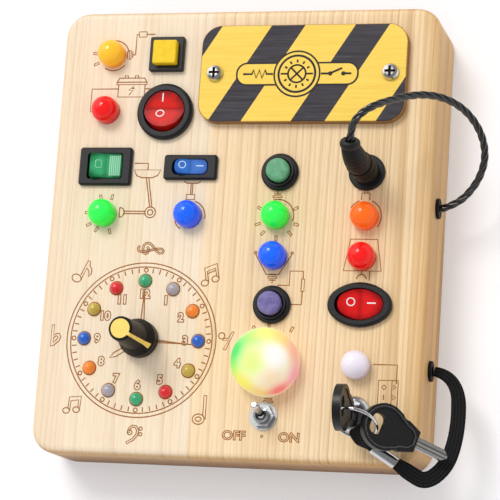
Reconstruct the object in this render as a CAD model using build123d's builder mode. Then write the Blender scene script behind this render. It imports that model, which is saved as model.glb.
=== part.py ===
"""Wooden busy board: a routed pine box with lamps, switches, a dial, a key lock and a power plug.

Millimetres. The board lies on its back: the origin is the centre of the back face, +Z points out of
the control face, +Y to the board's top edge and +X to its right.
"""

import os
from collections import namedtuple
from math import cos, radians, sin, tan

from build123d import *

os.makedirs("parts", exist_ok=True)

# ---------------------------------------------------------------- driving dimensions
# box
board_width = 156
board_height = 181
board_thickness = 30
corner_radius = 10
front_edge_radius = 3
wall = 9
panel = 5
cavity_corner_radius = 4
cover_thickness = 3
cover_ledge = 4.5
cover_gap = 0.3
corner_pad = 9
side_pad_width = 9
side_pad_height = 12
side_pad_y = -8


def on_face(x, y, *z):
    """A place from the layout of a 156 by 181 board, moved with this board's width and height."""
    return (board_width * x / 156, board_height * y / 181, *z)


# fits
hole_gap = 0.2  # round a fixed part in its hole in the wood
thread_gap = 0.05  # between a thread and its nut, and round a screw
running_gap = 0.1  # round a shaft or a pin that turns
sliding_gap = 0.2  # round a button that travels
seat_gap = 0.3  # between a loose piece and what carries it

# screws
cover_screw_diameter = 2.6
cover_screw_length = 12
cover_screw_head = 5
plaque_screw_diameter = 2.8
plaque_screw_length = 8
plaque_screw_head = 6.8
plaque_screw_head_height = 2.2
board_screw_length = 6
board_screw_head_height = 1.4

# battery box: three AAA cells side by side
cell_diameter = 10.5
cell_length = 44.5
cell_count = 3
cell_pitch = 11
cell_gap = 0.15
contact_space = 3
contact_thickness = 0.4
contact_size = 8
holder_wall = 1.5
holder_rim = 3.5
door_screw_boss = 8
door_gap = 0.4
rim_margin = 4
rim_thickness = 2
battery_top_gap = 1.5
battery_spring_diameter = 6
battery_spring_wire = 0.6

# main circuit board
circuit_side_gap = 2
circuit_height = 28
circuit_thickness = 1.6
circuit_at = (0, -2)
circuit_front_z = 19.5
post_diameter = 7
post_spots = [on_face(-36, 4), on_face(-36, -9), on_face(35, 8), on_face(35, -10)]

# plaque
plaque_width = 84
plaque_height = 40
plaque_thickness = 3.5
plaque_corner = 8
plaque_left = on_face(-18, 63)
plaque_screw_inset = 6.3

# small lamps: a round-topped lens with an LED in its shank
lens_diameter = 10.8
lens_wall_height = 3.5  # the straight wall below the round top
lens_shank = 9
lens_shank_reach = 1.5
lens_bore = 5.2
led_diameter = 5
led_height = 8.6
led_flange = 5.8
led_flange_height = 1
lead_size = 0.5
lead_pitch = 2.54
short_lead = 6
amber_lamps = [on_face(-56.3, 72.0)]
red_lamps = [on_face(-57.0, 48.5), on_face(52.1, -10.3)]
green_lamps = [on_face(-54.9, 5.9), on_face(16.6, 5.7)]
blue_lamps = [on_face(-19.2, 5.7), on_face(16.7, -10.4)]
orange_lamps = [on_face(52.3, 5.7)]
white_lamps = [on_face(52.3, -52.6)]

# colour-changing dome
dome_gap = 2.1  # to the button above it and to the toggle's washer below
dome_wall_height = 4  # the straight wall below the round top
dome_wall = 1.6
dome_shoulder = 2.2
dome_spigot_wall = 1.5
dome_spigot_reach = 1.5
lamp_chip_height = 1.6

# push buttons
button_bezel = 15
button_bezel_height = 2.2
button_bush = 12
button_bush_low = 11
button_collar = 12
button_collar_height = 3.4
button_cap_diameter = 9.3
button_cap_rise = 6.2
button_travel = 2.5
button_stem = 4
button_clip = 6
button_floor_z = 19.5
button_floor = 1.5
button_spring_room = 6
button_spring_diameter = 7.2
button_spring_wire = 0.7
button_spring_turns = 4
green_button_at = on_face(17.1, 23.2)
blue_button_at = on_face(17.3, -29.7)
square_button_at = on_face(-33.1, 71.9)
square_bezel = 14.3
square_bezel_height = 2.4
square_cap = 9.8
square_cap_height = 3.4
square_travel = 2
square_well_clearance = 0.1

# nuts behind the panel
nut_thickness = 2.5
button_nut = 14.5
jack_nut = 14
lock_nut = 13
selector_nut = 10
toggle_nut = 8

# rocker switches
rocker_tilt = 8
rocker_end_gap = 0.4
rocker_crown = 4
rocker_lip = 1
rocker_lobe = 4.4
rocker_depth = 5.5
rocker_pin = 2.4
rocker_pin_reach = 0.7
rocker_wall = 1.3
rocker_room = 9
rocker_floor = 2
Rocker = namedtuple("Rocker", "at form length width bezel_length bezel_width bezel_height rise turn")
round_switch = Rocker(on_face(-32.1, 47.9), "oval", 17.5, 17.5, 23, 23, 3.0, -0.3, 90)
green_switch = Rocker(on_face(-55.4, 25.3), "box", 15, 10.7, 22, 15.5, 2.2, 0.3, 0)
blue_switch = Rocker(on_face(-19.7, 25.0), "bar", 15, 6.6, 22, 10.1, 2.2, 0.3, 0)
oval_switch = Rocker(on_face(52.3, -29.1), "oval", 19.5, 12.8, 25.2, 17.4, 2.8, -0.3, 0)

# terminals
blade_width = 4.8
blade_thickness = 0.8
blade_length = 6.5
pin_terminal = 1.2
pin_terminal_length = 4

# toggle switch
toggle_at = on_face(16.8, -73.3)
toggle_body_width = 8
toggle_body_length = 13
toggle_body_depth = 9.5
toggle_bushing = 6
toggle_bushing_rise = 4.5
toggle_bore = 4.3
toggle_pivot_rise = 2.6
toggle_lever_length = 12.5
toggle_lever_root = 2.4
toggle_lever_tip = 3.2
toggle_lever_tail = 4.5
toggle_tail_diameter = 1.6
toggle_swing = 12
toggle_nut_height = 2
toggle_washer = 11
toggle_washer_height = 0.5
toggle_pin = 1.0

# selector switch with its dial
dial_at = on_face(-35.2, -44.6)
dial_lamp_radius = 23.6
dial_lamp_count = 12
dial_ring_outer = 58
dial_ring_inner = 34
dial_ring_thickness = 1.6
dial_lamp_standoff = 2
dial_lamp_hole = 5.3
selector_body = 26
selector_depth = 10
selector_bushing = 8
selector_bushing_rise = 3.2
selector_nut_height = 2
selector_shaft = 6
selector_shaft_rise = 18
selector_terminal_radius = 10.5
knob_skirt = 15
knob_top = 9.6
knob_skirt_height = 6
knob_height = 26
knob_clearance = 0.5
knob_recess = 12.2
knob_recess_depth = 3.4
knob_cap_diameter = 7.6
knob_cap_depth = 1
knob_line_width = 1.3
knob_line_depth = 0.5
knob_pointer_angle = -31

# key lock
lock_at = on_face(52, -71.5)
lock_bezel = 14.5
lock_bezel_height = 2.5
lock_barrel = 11
lock_barrel_low = 12
lock_floor = 1.5
lock_plug = 7.6
lock_plug_rise = 2.2
lock_tail = 4
lock_tail_length = 2.3
lock_clip = 6
keyway_gap = 0.15
keyway_depth_gap = 0.5

# keys
key_bow_length = 22
key_bow_width = 17.6
key_bow_thickness = 3.2
key_bow_recess = 0.35
key_bow_rim = 1.7
key_shoulder_width = 8
key_notch = 5
key_notch_at = (15.6, 8.6)
key_hole_length = 5.2
key_hole_width = 8
key_hole_centre = 5
key_blade_length = 13.5
key_blade_width = 4.4
key_blade_thickness = 1.8
key_blade_root = 4
key_groove_width = 0.9
key_groove_depth = 0.4
key_bow_clear_of_lock = 4.3
key_pull = 14
ring_radius = 8.5
ring_wire = 1.2
ring_centre = (lock_at[0] + 4.7, lock_at[1] - 5.2, 47.0)
ring_normal = (0.1, 0.845, -0.525)
spare_hook = 5.5  # from the spare key's end to the ring's wire
spare_shift = 0.9  # across the spare key, from the ring's wire to the key's middle
spare_direction = (0.78, -0.32, -0.54)
spare_roll = 12

# key strap
strap_width = 6.2
strap_thickness = 1.3
strap_stub = 4
strap_exit = on_face(0, -51.9, 16.5)[1:]
ferrule_diameter = 4.8
ferrule_top = (lock_at[0] + 9.9, lock_at[1] - 12.9, 38.0)
ferrule_bottom = (lock_at[0] + 18.1, lock_at[1] - 18, 34.0)
eye_width = 5
eye_opening = 3.2
eye_start = 1.2
eye_length = 8.2
strap_hook_angle = -108  # round the ring, where the eye holds it
strap_route = [
    on_face(80.0, -51.9, 16.5),
    on_face(84.6, -52.8, 17.2),
    on_face(89.6, -58.7, 18.5),
    on_face(91.0, -67.8, 20.5),
    on_face(90.7, -79.2, 23.5),
    on_face(88.3, -89.6, 27.0),
    on_face(81.5, -96.2, 30.0),
    on_face(75.4, -93.0, 32.0),
]

# grommets in the right-hand side
grommet_flange = 8
grommet_flange_height = 1.2
grommet_shank = 6.6
cable_exit = on_face(0, 11.8, 18.6)[1:]
stop_width = 6.4
stop_height = 2

# power jack, plug and cable
jack_at = on_face(52.0, 23.3)
jack_flange = 14.4
jack_flange_height = 1.8
jack_barrel = 11
jack_barrel_low = 13
jack_floor = 2
jack_socket = 6
jack_pin = 2
plug_body = 10.4
plug_body_height = 13
plug_groove = 0.5
plug_groove_pitch = 2
plug_neck_base = 9.6
plug_neck_top = 7
plug_neck_lean = 3.4
plug_neck_height = 17
plug_neck_tilt = 50
plug_neck_heading = 9
plug_shell = 5.5
plug_shell_bore = 2.4
plug_shell_length = 9.5
plug_pull = 12
cable_diameter = 3
cable_first_run = 6.2
cable_route = [
    on_face(56.0, 36.2, 68.2),
    on_face(61.0, 40.0, 67.0),
    on_face(65.9, 43.4, 61.9),
    on_face(70.6, 46.2, 57.0),
    on_face(76.4, 48.6, 52.1),
    on_face(83.8, 49.0, 46.3),
    on_face(91.0, 46.0, 40.0),
    on_face(96.0, 39.8, 33.6),
    on_face(97.8, 32.0, 27.7),
    on_face(95.6, 24.4, 23.2),
    on_face(91.0, 18.0, 20.6),
    on_face(85.6, 13.6, 19.2),
]

# speaker
speaker_at = on_face(-45, -58)
speaker_diameter = 28
speaker_height = 5.6
speaker_rim = 1.2
speaker_magnet = 15
speaker_hole = 2
speaker_hole_pitch = 4

# ---------------------------------------------------------------- derived places
front = board_thickness
inner = front - panel
cavity_width = board_width - 2 * wall
cavity_height = board_height - 2 * wall
cover_width = board_width - 2 * cover_ledge
cover_height = board_height - 2 * cover_ledge
cover_corner_radius = corner_radius - cover_ledge
side = board_width / 2
cavity_cells = cell_count * cell_pitch
door_width = cavity_cells + 2 * holder_rim
battery_at = (on_face(18, 0)[0], cavity_height / 2 - battery_top_gap - rim_margin - door_width / 2)
circuit_width = cavity_width - 2 * (side_pad_width + circuit_side_gap)
plaque_at = (plaque_left[0] + plaque_width / 2, plaque_left[1])
dome_top_y = blue_button_at[1] - button_bezel / 2 - dome_gap
dome_bottom_y = toggle_at[1] + toggle_washer / 2 + dome_gap
dome_at = (toggle_at[0], (dome_top_y + dome_bottom_y) / 2)
dome_diameter = dome_top_y - dome_bottom_y
dome_spigot = dome_diameter - 2 * dome_shoulder
lamp_chip = 0.23 * dome_spigot
lamp_chip_spacing = 0.36 * dome_spigot
corner_x = cavity_width / 2 - corner_pad / 2
corner_y = cavity_height / 2 - corner_pad / 2
cover_screw_spots = [(x, y) for x in (-corner_x, corner_x) for y in (-corner_y, corner_y)]
cover_screw_spots += [(x, side_pad_y) for x in (-corner_x, corner_x)]
all_lamps = amber_lamps + red_lamps + green_lamps + blue_lamps + orange_lamps + white_lamps
dial_angles = [90 - 360 / dial_lamp_count * n for n in range(dial_lamp_count)]
dial_lamps = [
    (
        dial_at[0] + dial_lamp_radius * cos(radians(angle)),
        dial_at[1] + dial_lamp_radius * sin(radians(angle)),
    )
    for angle in dial_angles
]
plaque_screw_spots = [
    (plaque_at[0] + turn * (plaque_width / 2 - plaque_screw_inset), plaque_at[1]) for turn in (-1, 1)
]
rockers = [round_switch, green_switch, blue_switch, oval_switch]
round_buttons = [green_button_at, blue_button_at]
all_buttons = round_buttons + [square_button_at]
UP = (Align.CENTER, Align.CENTER, Align.MIN)
RIGHTWARDS = Plane.YZ


# ---------------------------------------------------------------- shapes used again and again
def disc(at, low, high, diameter, mode=Mode.ADD):
    """An upright cylinder from one height to another."""
    with Locations((at[0], at[1], low)):
        Cylinder(diameter / 2, high - low, align=UP, mode=mode)


def block(at, low, high, width, height, mode=Mode.ADD):
    """An upright box from one height to another."""
    with Locations((at[0], at[1], low)):
        Box(width, height, high - low, align=UP, mode=mode)


def slab(at, low, high, width, height, corner, mode=Mode.ADD):
    """An upright box with round corners."""
    with BuildSketch(Plane.XY.offset(low)) as outline:
        with Locations(at):
            RectangleRounded(width, height, corner)
    extrude(outline.sketch, amount=high - low, mode=mode)


def hexagon(at, low, high, across_flats, mode=Mode.ADD):
    """A hexagonal prism, as of a nut."""
    with BuildSketch(Plane.XY.offset(low)) as outline:
        with Locations(at):
            RegularPolygon(across_flats / 2, 6, major_radius=False)
    extrude(outline.sketch, amount=high - low, mode=mode)


def turned(at, points, mode=Mode.ADD):
    """A shape turned about the vertical line through `at`, from (radius, height) points."""
    with BuildSketch(Plane((at[0], at[1], 0), x_dir=(1, 0, 0), z_dir=(0, -1, 0))) as profile:
        with BuildLine():
            Polyline(*points, close=True)
        make_face()
    revolve(profile.sketch, axis=Axis((at[0], at[1], 0), (0, 0, 1)), mode=mode)


def nut(at, across_flats, thread, low, high):
    """A hexagonal nut with its threaded hole."""
    hexagon(at, low, high, across_flats)
    disc(at, low, high, thread + 2 * thread_gap, mode=Mode.SUBTRACT)


def cross_recess(at, top, size, depth):
    """The cross-shaped recess in a screw's head."""
    low, high = min(top, top - depth), max(top, top - depth)
    block(at, low, high, size, size / 4, mode=Mode.SUBTRACT)
    block(at, low, high, size / 4, size, mode=Mode.SUBTRACT)


def oval(length, width):
    """A four-arc oval in the current sketch."""
    half = length / 2
    rise = width / 2
    end_radius = (rise**2 / half + rise) / 2
    end_radius = min(end_radius, 0.75 * rise)
    side_radius = (half**2 + rise**2 - 2 * half * end_radius) / (2 * (rise - end_radius))
    share = end_radius / (side_radius - end_radius)
    x = (half - end_radius) * (1 + share)
    y = (side_radius - rise) * share
    with BuildLine() as rim:
        ThreePointArc((-x, y), (0, rise), (x, y))
        ThreePointArc((x, y), (half, 0), (x, -y))
        ThreePointArc((x, -y), (0, -rise), (-x, -y))
        ThreePointArc((-x, -y), (-half, 0), (-x, y))
    make_face(rim.edges())


# ---------------------------------------------------------------- wooden box
def rocker_outline(rocker, length, width):
    """The face outline of a rocker, its window or its bezel, drawn about the origin."""
    if rocker.form == "bar" and length < rocker.bezel_length:
        RectangleRounded(length, width, 0.38 * width)
    elif rocker.form in ("box", "bar"):
        RectangleRounded(length, width, min(1.2, width / 4))
    elif length == width:
        Circle(length / 2)
    else:
        oval(length, width)


def rocker_prism(rocker, low, high, length, width, mode=Mode.ADD):
    """An upright prism with a rocker's outline."""
    base = Plane((rocker.at[0], rocker.at[1], low)).rotated((0, 0, rocker.turn))
    with BuildSketch(base) as outline:
        rocker_outline(rocker, length, width)
    extrude(outline.sketch, amount=high - low, mode=mode)


def side_bore(at, depth, diameter, mode=Mode.SUBTRACT, start=0.0):
    """A bore or a shank along X, from the right-hand side inwards."""
    with BuildSketch(RIGHTWARDS.offset(side + start)) as round_hole:
        with Locations(at):
            Circle(diameter / 2)
    extrude(round_hole.sketch, amount=-depth, mode=mode)


with BuildPart() as wooden_case:
    slab((0, 0), 0, front, board_width, board_height, corner_radius)
    fillet(wooden_case.faces().sort_by(Axis.Z)[-1].edges(), front_edge_radius)
    with BuildSketch(Plane.XY.offset(cover_thickness)) as cavity:
        RectangleRounded(cavity_width, cavity_height, cavity_corner_radius)
        with Locations(*[(x, y) for x in (-cavity_width / 2, cavity_width / 2)
                         for y in (-cavity_height / 2, cavity_height / 2)]):
            RectangleRounded(2 * corner_pad, 2 * corner_pad, corner_pad / 2, mode=Mode.SUBTRACT)
        with Locations((-cavity_width / 2, side_pad_y), (cavity_width / 2, side_pad_y)):
            RectangleRounded(2 * side_pad_width, side_pad_height, corner_pad / 3, mode=Mode.SUBTRACT)
    extrude(cavity.sketch, amount=inner - cover_thickness, mode=Mode.SUBTRACT)
    slab((0, 0), 0, cover_thickness, cover_width, cover_height, cover_corner_radius, mode=Mode.SUBTRACT)
    for spot in post_spots:
        disc(spot, circuit_front_z, inner, post_diameter)
        disc(spot, circuit_front_z, circuit_front_z + board_screw_length,
             cover_screw_diameter + 2 * thread_gap, mode=Mode.SUBTRACT)
    for spot in cover_screw_spots:
        disc(spot, cover_thickness, cover_screw_length + 0.5,
             cover_screw_diameter + 2 * thread_gap, mode=Mode.SUBTRACT)
    for spot in plaque_screw_spots:
        disc(spot, front - (plaque_screw_length - plaque_thickness), front,
             plaque_screw_diameter + 2 * thread_gap, mode=Mode.SUBTRACT)
    for spot in all_lamps:
        disc(spot, inner, front, lens_shank + 2 * hole_gap, mode=Mode.SUBTRACT)
    for spot in dial_lamps:
        disc(spot, inner, front, dial_lamp_hole, mode=Mode.SUBTRACT)
    for spot in all_buttons:
        disc(spot, inner, front, button_bush + 2 * hole_gap, mode=Mode.SUBTRACT)
    for rocker in rockers:
        hole_margin = 2 * (rocker_wall + hole_gap)
        rocker_prism(rocker, inner, front, rocker.length + hole_margin, rocker.width + hole_margin,
                     mode=Mode.SUBTRACT)
    disc(dome_at, inner, front, dome_spigot + 2 * hole_gap, mode=Mode.SUBTRACT)
    disc(toggle_at, inner, front, toggle_bushing + 2 * hole_gap, mode=Mode.SUBTRACT)
    disc(dial_at, inner, front, selector_bushing + 2 * hole_gap, mode=Mode.SUBTRACT)
    disc(lock_at, inner, front, lock_barrel + 2 * hole_gap, mode=Mode.SUBTRACT)
    disc(jack_at, inner, front, jack_barrel + 2 * hole_gap, mode=Mode.SUBTRACT)
    for spot in (cable_exit, strap_exit):
        side_bore(spot, wall, grommet_shank + 2 * hole_gap)


# ---------------------------------------------------------------- back cover, battery box and door
holder_length = cell_length + 2 * contact_space
holder_depth = cell_diameter + 2 * cell_gap
holder_floor_z = cover_thickness + holder_depth
door_length = holder_length + 2 * holder_rim + door_screw_boss
door_at = (battery_at[0] + door_screw_boss / 2, battery_at[1])
door_screw_at = (battery_at[0] + holder_length / 2 + holder_rim / 2 + door_screw_boss / 2, battery_at[1])
speaker_grid = [
    (speaker_at[0] + speaker_hole_pitch * i, speaker_at[1] + speaker_hole_pitch * j)
    for i in range(-2, 3)
    for j in range(-2, 3)
    if i * i + j * j < 6
]


def countersunk(at, low, shank, head, length):
    """A countersunk screw driven upwards, its head flush with the height `low`."""
    turned(at, [(0, low), (head / 2, low), (shank / 2, low + (head - shank) / 2),
                (shank / 2, low + length - shank / 2), (0, low + length)])


def countersunk_hole(at, low, high, shank, head):
    """The hole of such a screw through a plate."""
    gap = thread_gap
    turned(at, [(0, low), (head / 2 + gap, low), (shank / 2 + gap, low + (head - shank) / 2),
                (shank / 2 + gap, high), (0, high)], mode=Mode.SUBTRACT)


with BuildPart() as back_cover:
    slab((0, 0), 0, cover_thickness, cover_width - 2 * cover_gap, cover_height - 2 * cover_gap,
         cover_corner_radius)
    block(door_at, 0, cover_thickness, door_length + 2 * door_gap, door_width + 2 * door_gap,
          mode=Mode.SUBTRACT)
    for spot in cover_screw_spots:
        countersunk_hole(spot, 0, cover_thickness, cover_screw_diameter, cover_screw_head)
    for spot in speaker_grid:
        disc(spot, 0, cover_thickness, speaker_hole, mode=Mode.SUBTRACT)

with BuildPart() as battery_holder:
    block(door_at, cover_thickness, cover_thickness + rim_thickness, door_length + 2 * rim_margin,
          door_width + 2 * rim_margin)
    block(battery_at, cover_thickness, holder_floor_z + holder_wall, holder_length + 2 * holder_wall,
          cavity_cells + 2 * holder_wall)
    block(battery_at, cover_thickness, holder_floor_z, holder_length, cavity_cells, mode=Mode.SUBTRACT)
    disc(door_screw_at, cover_thickness, holder_floor_z, door_screw_boss - 1)
    disc(door_screw_at, cover_thickness, holder_floor_z - 1.5, cover_screw_diameter + 2 * thread_gap,
         mode=Mode.SUBTRACT)

with BuildPart() as battery_door:
    slab(door_at, 0, cover_thickness, door_length, door_width, 1)
    for n in range(-2, 3):
        block((door_at[0] - door_length / 3 + 2 * n, door_at[1]), 0, 0.5, 1, door_width / 2,
              mode=Mode.SUBTRACT)
    countersunk_hole(door_screw_at, 0, cover_thickness, cover_screw_diameter, cover_screw_head)

cell_rows = [battery_at[1] + cell_pitch * (n - (cell_count - 1) / 2) for n in range(cell_count)]
cell_z = cover_thickness + cell_gap + cell_diameter / 2
cell_nub = 1.2


def facing(row):
    """+1 where a cell's nub points right, -1 where it points left: the rows alternate."""
    return 1 if row % 2 == 0 else -1


with BuildPart() as battery_cells:
    for row, y in enumerate(cell_rows):
        turn = facing(row)
        with BuildSketch(Plane.YZ.offset(battery_at[0] - turn * cell_length / 2)) as can:
            with Locations((y, cell_z)):
                Circle(cell_diameter / 2)
        extrude(can.sketch, amount=turn * (cell_length - cell_nub))
        with BuildSketch(Plane.YZ.offset(battery_at[0] + turn * (cell_length / 2 - cell_nub))) as nub:
            with Locations((y, cell_z)):
                Circle(cell_diameter / 4)
        extrude(nub.sketch, amount=turn * cell_nub)

with BuildPart() as battery_contacts:
    for row, y in enumerate(cell_rows):
        turn = facing(row)
        for way in (-1, 1):
            outer = battery_at[0] + way * holder_length / 2
            with Locations((outer - way * contact_thickness / 2, y, cell_z)):
                Box(contact_thickness, contact_size, contact_size)
        spring_start = battery_at[0] - turn * (holder_length / 2 - contact_thickness)
        spring_room = contact_space - contact_thickness - battery_spring_wire
        coil_start = (spring_start + turn * battery_spring_wire / 2, y, cell_z)
        with BuildLine() as coil:
            Helix(spring_room / 2, spring_room, battery_spring_diameter / 2, center=coil_start,
                  direction=(turn, 0, 0))
        with BuildSketch(Plane(coil.line @ 0, z_dir=coil.line % 0)) as wire:
            Circle(battery_spring_wire / 2)
        sweep(wire.sketch, path=coil.line, is_frenet=True)
        nub_contact_x = battery_at[0] + turn * (holder_length / 2 - contact_thickness)
        nub_room = contact_space - contact_thickness - seat_gap
        with Locations((nub_contact_x - turn * nub_room / 2, y, cell_z)):
            Box(nub_room, contact_size / 2, contact_size / 2)


# ---------------------------------------------------------------- circuit board
circuit_back_z = circuit_front_z - circuit_thickness
board_lamps = [spot for spot in all_lamps if abs(spot[1] - circuit_at[1]) < circuit_height / 2]

with BuildPart() as circuit_board:
    slab(circuit_at, circuit_back_z, circuit_front_z, circuit_width, circuit_height, 1.5)
    for spot in post_spots:
        disc(spot, circuit_back_z, circuit_front_z, cover_screw_diameter + 2 * hole_gap,
             mode=Mode.SUBTRACT)
    for spot in board_lamps:
        for way in (-1, 1):
            disc((spot[0] + way * lead_pitch / 2, spot[1]), circuit_back_z, circuit_front_z,
                 3 * lead_size, mode=Mode.SUBTRACT)

Chip = namedtuple("Chip", "at width height thickness")
chips = [
    Chip(on_face(0, -4), 10, 7, 2),
    Chip(on_face(-8, 6), 5, 4, 1.6),
    Chip(on_face(8, 6), 4, 6, 1.8),
    Chip(on_face(-48, -9), 9, 5.5, 5),
    Chip(on_face(45, -1), 5.5, 9, 5),
    Chip(on_face(25, -13), 11, 5, 5),
    Chip(on_face(-26, -12), 3.2, 1.6, 0.8),
    Chip(on_face(-26, -8), 3.2, 1.6, 0.8),
    Chip(on_face(26, 1), 3.2, 1.6, 0.8),
    Chip(on_face(26, -3), 3.2, 1.6, 0.8),
]
capacitors = [on_face(-14, -12), on_face(12, -12)]
capacitor_diameter = 6.3
capacitor_height = 7

with BuildPart() as circuit_board_parts:
    for chip in chips:
        block(chip.at, circuit_back_z - chip.thickness, circuit_back_z, chip.width, chip.height)
    for spot in capacitors:
        disc(spot, circuit_back_z - capacitor_height, circuit_back_z, capacitor_diameter)

with BuildPart() as assembly_screws:
    for spot in cover_screw_spots:
        countersunk(spot, 0, cover_screw_diameter, cover_screw_head, cover_screw_length)
        cross_recess(spot, 1.2, 0.6 * cover_screw_head, 1.2)
    countersunk(door_screw_at, 0, cover_screw_diameter, cover_screw_head, holder_depth - 1)
    cross_recess(door_screw_at, 1.2, 0.6 * cover_screw_head, 1.2)
    for spot in post_spots:
        disc(spot, circuit_back_z - board_screw_head_height, circuit_back_z, cover_screw_head)
        disc(spot, circuit_back_z, circuit_front_z + board_screw_length - 0.5, cover_screw_diameter)


# ---------------------------------------------------------------- speaker
speaker_back = cover_thickness
with BuildPart() as speaker:
    turned(speaker_at, [
        (speaker_diameter / 2 - 2.5, speaker_back),
        (speaker_diameter / 2, speaker_back),
        (speaker_diameter / 2, speaker_back + speaker_rim),
        (speaker_magnet / 2, speaker_back + speaker_height - 2),
        (speaker_magnet / 2, speaker_back + speaker_height),
        (0, speaker_back + speaker_height),
        (0, speaker_back + speaker_height - 3),
        (speaker_magnet / 2 - 1, speaker_back + speaker_height - 3),
    ])


# ---------------------------------------------------------------- striped plaque
with BuildPart() as hazard_plaque:
    slab(plaque_at, front, front + plaque_thickness, plaque_width, plaque_height, plaque_corner)
    chamfer(hazard_plaque.faces().sort_by(Axis.Z)[-1].edges(), 0.5)
    for spot in plaque_screw_spots:
        disc(spot, front, front + plaque_thickness, plaque_screw_diameter + 2 * hole_gap,
             mode=Mode.SUBTRACT)

plaque_front = front + plaque_thickness
with BuildPart() as plaque_screws:
    for spot in plaque_screw_spots:
        head = plaque_screw_head / 2
        shank = plaque_screw_diameter / 2
        tip = plaque_front - plaque_screw_length
        turned(spot, [
            (0, tip), (shank, tip + shank), (shank, plaque_front), (head, plaque_front),
            (head, plaque_front + 0.35 * plaque_screw_head_height),
            (0.85 * head, plaque_front + 0.75 * plaque_screw_head_height),
            (0.5 * head, plaque_front + plaque_screw_head_height),
            (0, plaque_front + plaque_screw_head_height),
        ])
        cross_recess(spot, plaque_front + plaque_screw_head_height, 0.62 * plaque_screw_head, 1.4)


# ---------------------------------------------------------------- lamps
lens_low = inner - lens_shank_reach
lens_bore_top = lens_low + led_height - led_flange_height + seat_gap + 0.2


def lens(at):
    """A round-topped lens on the panel, with a bored shank through it."""
    shoulder = front + lens_wall_height
    with BuildSketch(Plane((at[0], at[1], 0), x_dir=(1, 0, 0), z_dir=(0, -1, 0))) as profile:
        with BuildLine():
            Polyline((0, lens_bore_top), (lens_bore / 2, lens_bore_top), (lens_bore / 2, lens_low),
                     (lens_shank / 2, lens_low), (lens_shank / 2, front), (lens_diameter / 2, front),
                     (lens_diameter / 2, shoulder))
            CenterArc((0, shoulder), lens_diameter / 2, 0, 90)
            Line((0, shoulder + lens_diameter / 2), (0, lens_bore_top))
        make_face()
    revolve(profile.sketch, axis=Axis((at[0], at[1], 0), (0, 0, 1)))


def led(at, flange_top, lead_end):
    """A round LED with its flange and two leads."""
    tip = flange_top + led_height - led_flange_height
    shoulder = tip - led_diameter / 2
    disc(at, flange_top - led_flange_height, flange_top, led_flange)
    disc(at, flange_top, shoulder, led_diameter)
    with Locations((at[0], at[1], shoulder)):
        Sphere(led_diameter / 2)
    for way in (-1, 1):
        block((at[0] + way * lead_pitch / 2, at[1]), lead_end, flange_top - led_flange_height,
              lead_size, lead_size)


def lens_set(spots):
    """The lenses of one colour."""
    for spot in spots:
        lens(spot)


with BuildPart() as lens_amber:
    lens_set(amber_lamps)
with BuildPart() as lens_red:
    lens_set(red_lamps)
with BuildPart() as lens_green:
    lens_set(green_lamps)
with BuildPart() as lens_blue:
    lens_set(blue_lamps)
with BuildPart() as lens_orange:
    lens_set(orange_lamps)
with BuildPart() as lens_white:
    lens_set(white_lamps)

with BuildPart() as lamp_leds:
    for spot in all_lamps:
        on_board = spot in board_lamps
        lead_end = circuit_back_z - 0.8 if on_board else lens_low - led_flange_height - short_lead
        led(spot, lens_low, lead_end)

dial_flange_top = inner
dial_ring_front = inner - led_flange_height - dial_lamp_standoff
with BuildPart() as dial_lamps_set:
    for spot in dial_lamps:
        led(spot, dial_flange_top, dial_ring_front - dial_ring_thickness - 0.8)

with BuildPart() as dial_ring_board:
    disc(dial_at, dial_ring_front - dial_ring_thickness, dial_ring_front, dial_ring_outer)
    disc(dial_at, dial_ring_front - dial_ring_thickness, dial_ring_front, dial_ring_inner,
         mode=Mode.SUBTRACT)
    for spot in dial_lamps:
        for way in (-1, 1):
            disc((spot[0] + way * lead_pitch / 2, spot[1]), dial_ring_front - dial_ring_thickness,
                 dial_ring_front, 3 * lead_size, mode=Mode.SUBTRACT)

dome_low = inner - dome_spigot_reach
with BuildPart() as rgb_dome:
    dome_radius = dome_diameter / 2
    bore_radius = dome_spigot / 2 - dome_spigot_wall
    inner_radius = dome_radius - dome_wall
    dome_spring = front + dome_wall_height
    with BuildSketch(Plane((dome_at[0], dome_at[1], 0), x_dir=(1, 0, 0), z_dir=(0, -1, 0))) as shell:
        with BuildLine():
            Polyline((bore_radius, front + dome_wall), (bore_radius, dome_low),
                     (dome_spigot / 2, dome_low), (dome_spigot / 2, front), (dome_radius, front),
                     (dome_radius, dome_spring))
            CenterArc((0, dome_spring), dome_radius, 0, 90)
            Line((0, dome_spring + dome_radius), (0, dome_spring + inner_radius))
            CenterArc((0, dome_spring), inner_radius, 0, 90)
            Polyline((inner_radius, dome_spring), (inner_radius, front + dome_wall),
                     (bore_radius, front + dome_wall))
        make_face()
    revolve(axis=Axis((dome_at[0], dome_at[1], 0), (0, 0, 1)))

with BuildPart() as rgb_lamp_module:
    disc(dome_at, dome_low - circuit_thickness, dome_low, dome_spigot)
    for x in (-1, 1):
        for y in (-1, 1):
            spot = (dome_at[0] + x * lamp_chip_spacing / 2, dome_at[1] + y * lamp_chip_spacing / 2)
            block(spot, dome_low, dome_low + lamp_chip_height, lamp_chip, lamp_chip)


# ---------------------------------------------------------------- push buttons
cap_bore = button_cap_diameter + 2 * sliding_gap
cap_low_z = button_floor_z + button_spring_room
chamber_top = button_floor_z - button_floor
clip_top = chamber_top - seat_gap
clip_height = 1.4
chamber_low = button_bush_low + 1.5


def button_bush_body(at):
    """The threaded bush, its spring floor and the contact chamber, cut from the bore down."""
    disc(at, button_bush_low, front, button_bush)
    disc(at, button_floor_z, front + 5, cap_bore, mode=Mode.SUBTRACT)
    disc(at, chamber_top, button_floor_z, button_stem + 2 * sliding_gap, mode=Mode.SUBTRACT)
    disc(at, chamber_low, chamber_top, button_clip + 2, mode=Mode.SUBTRACT)


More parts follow.
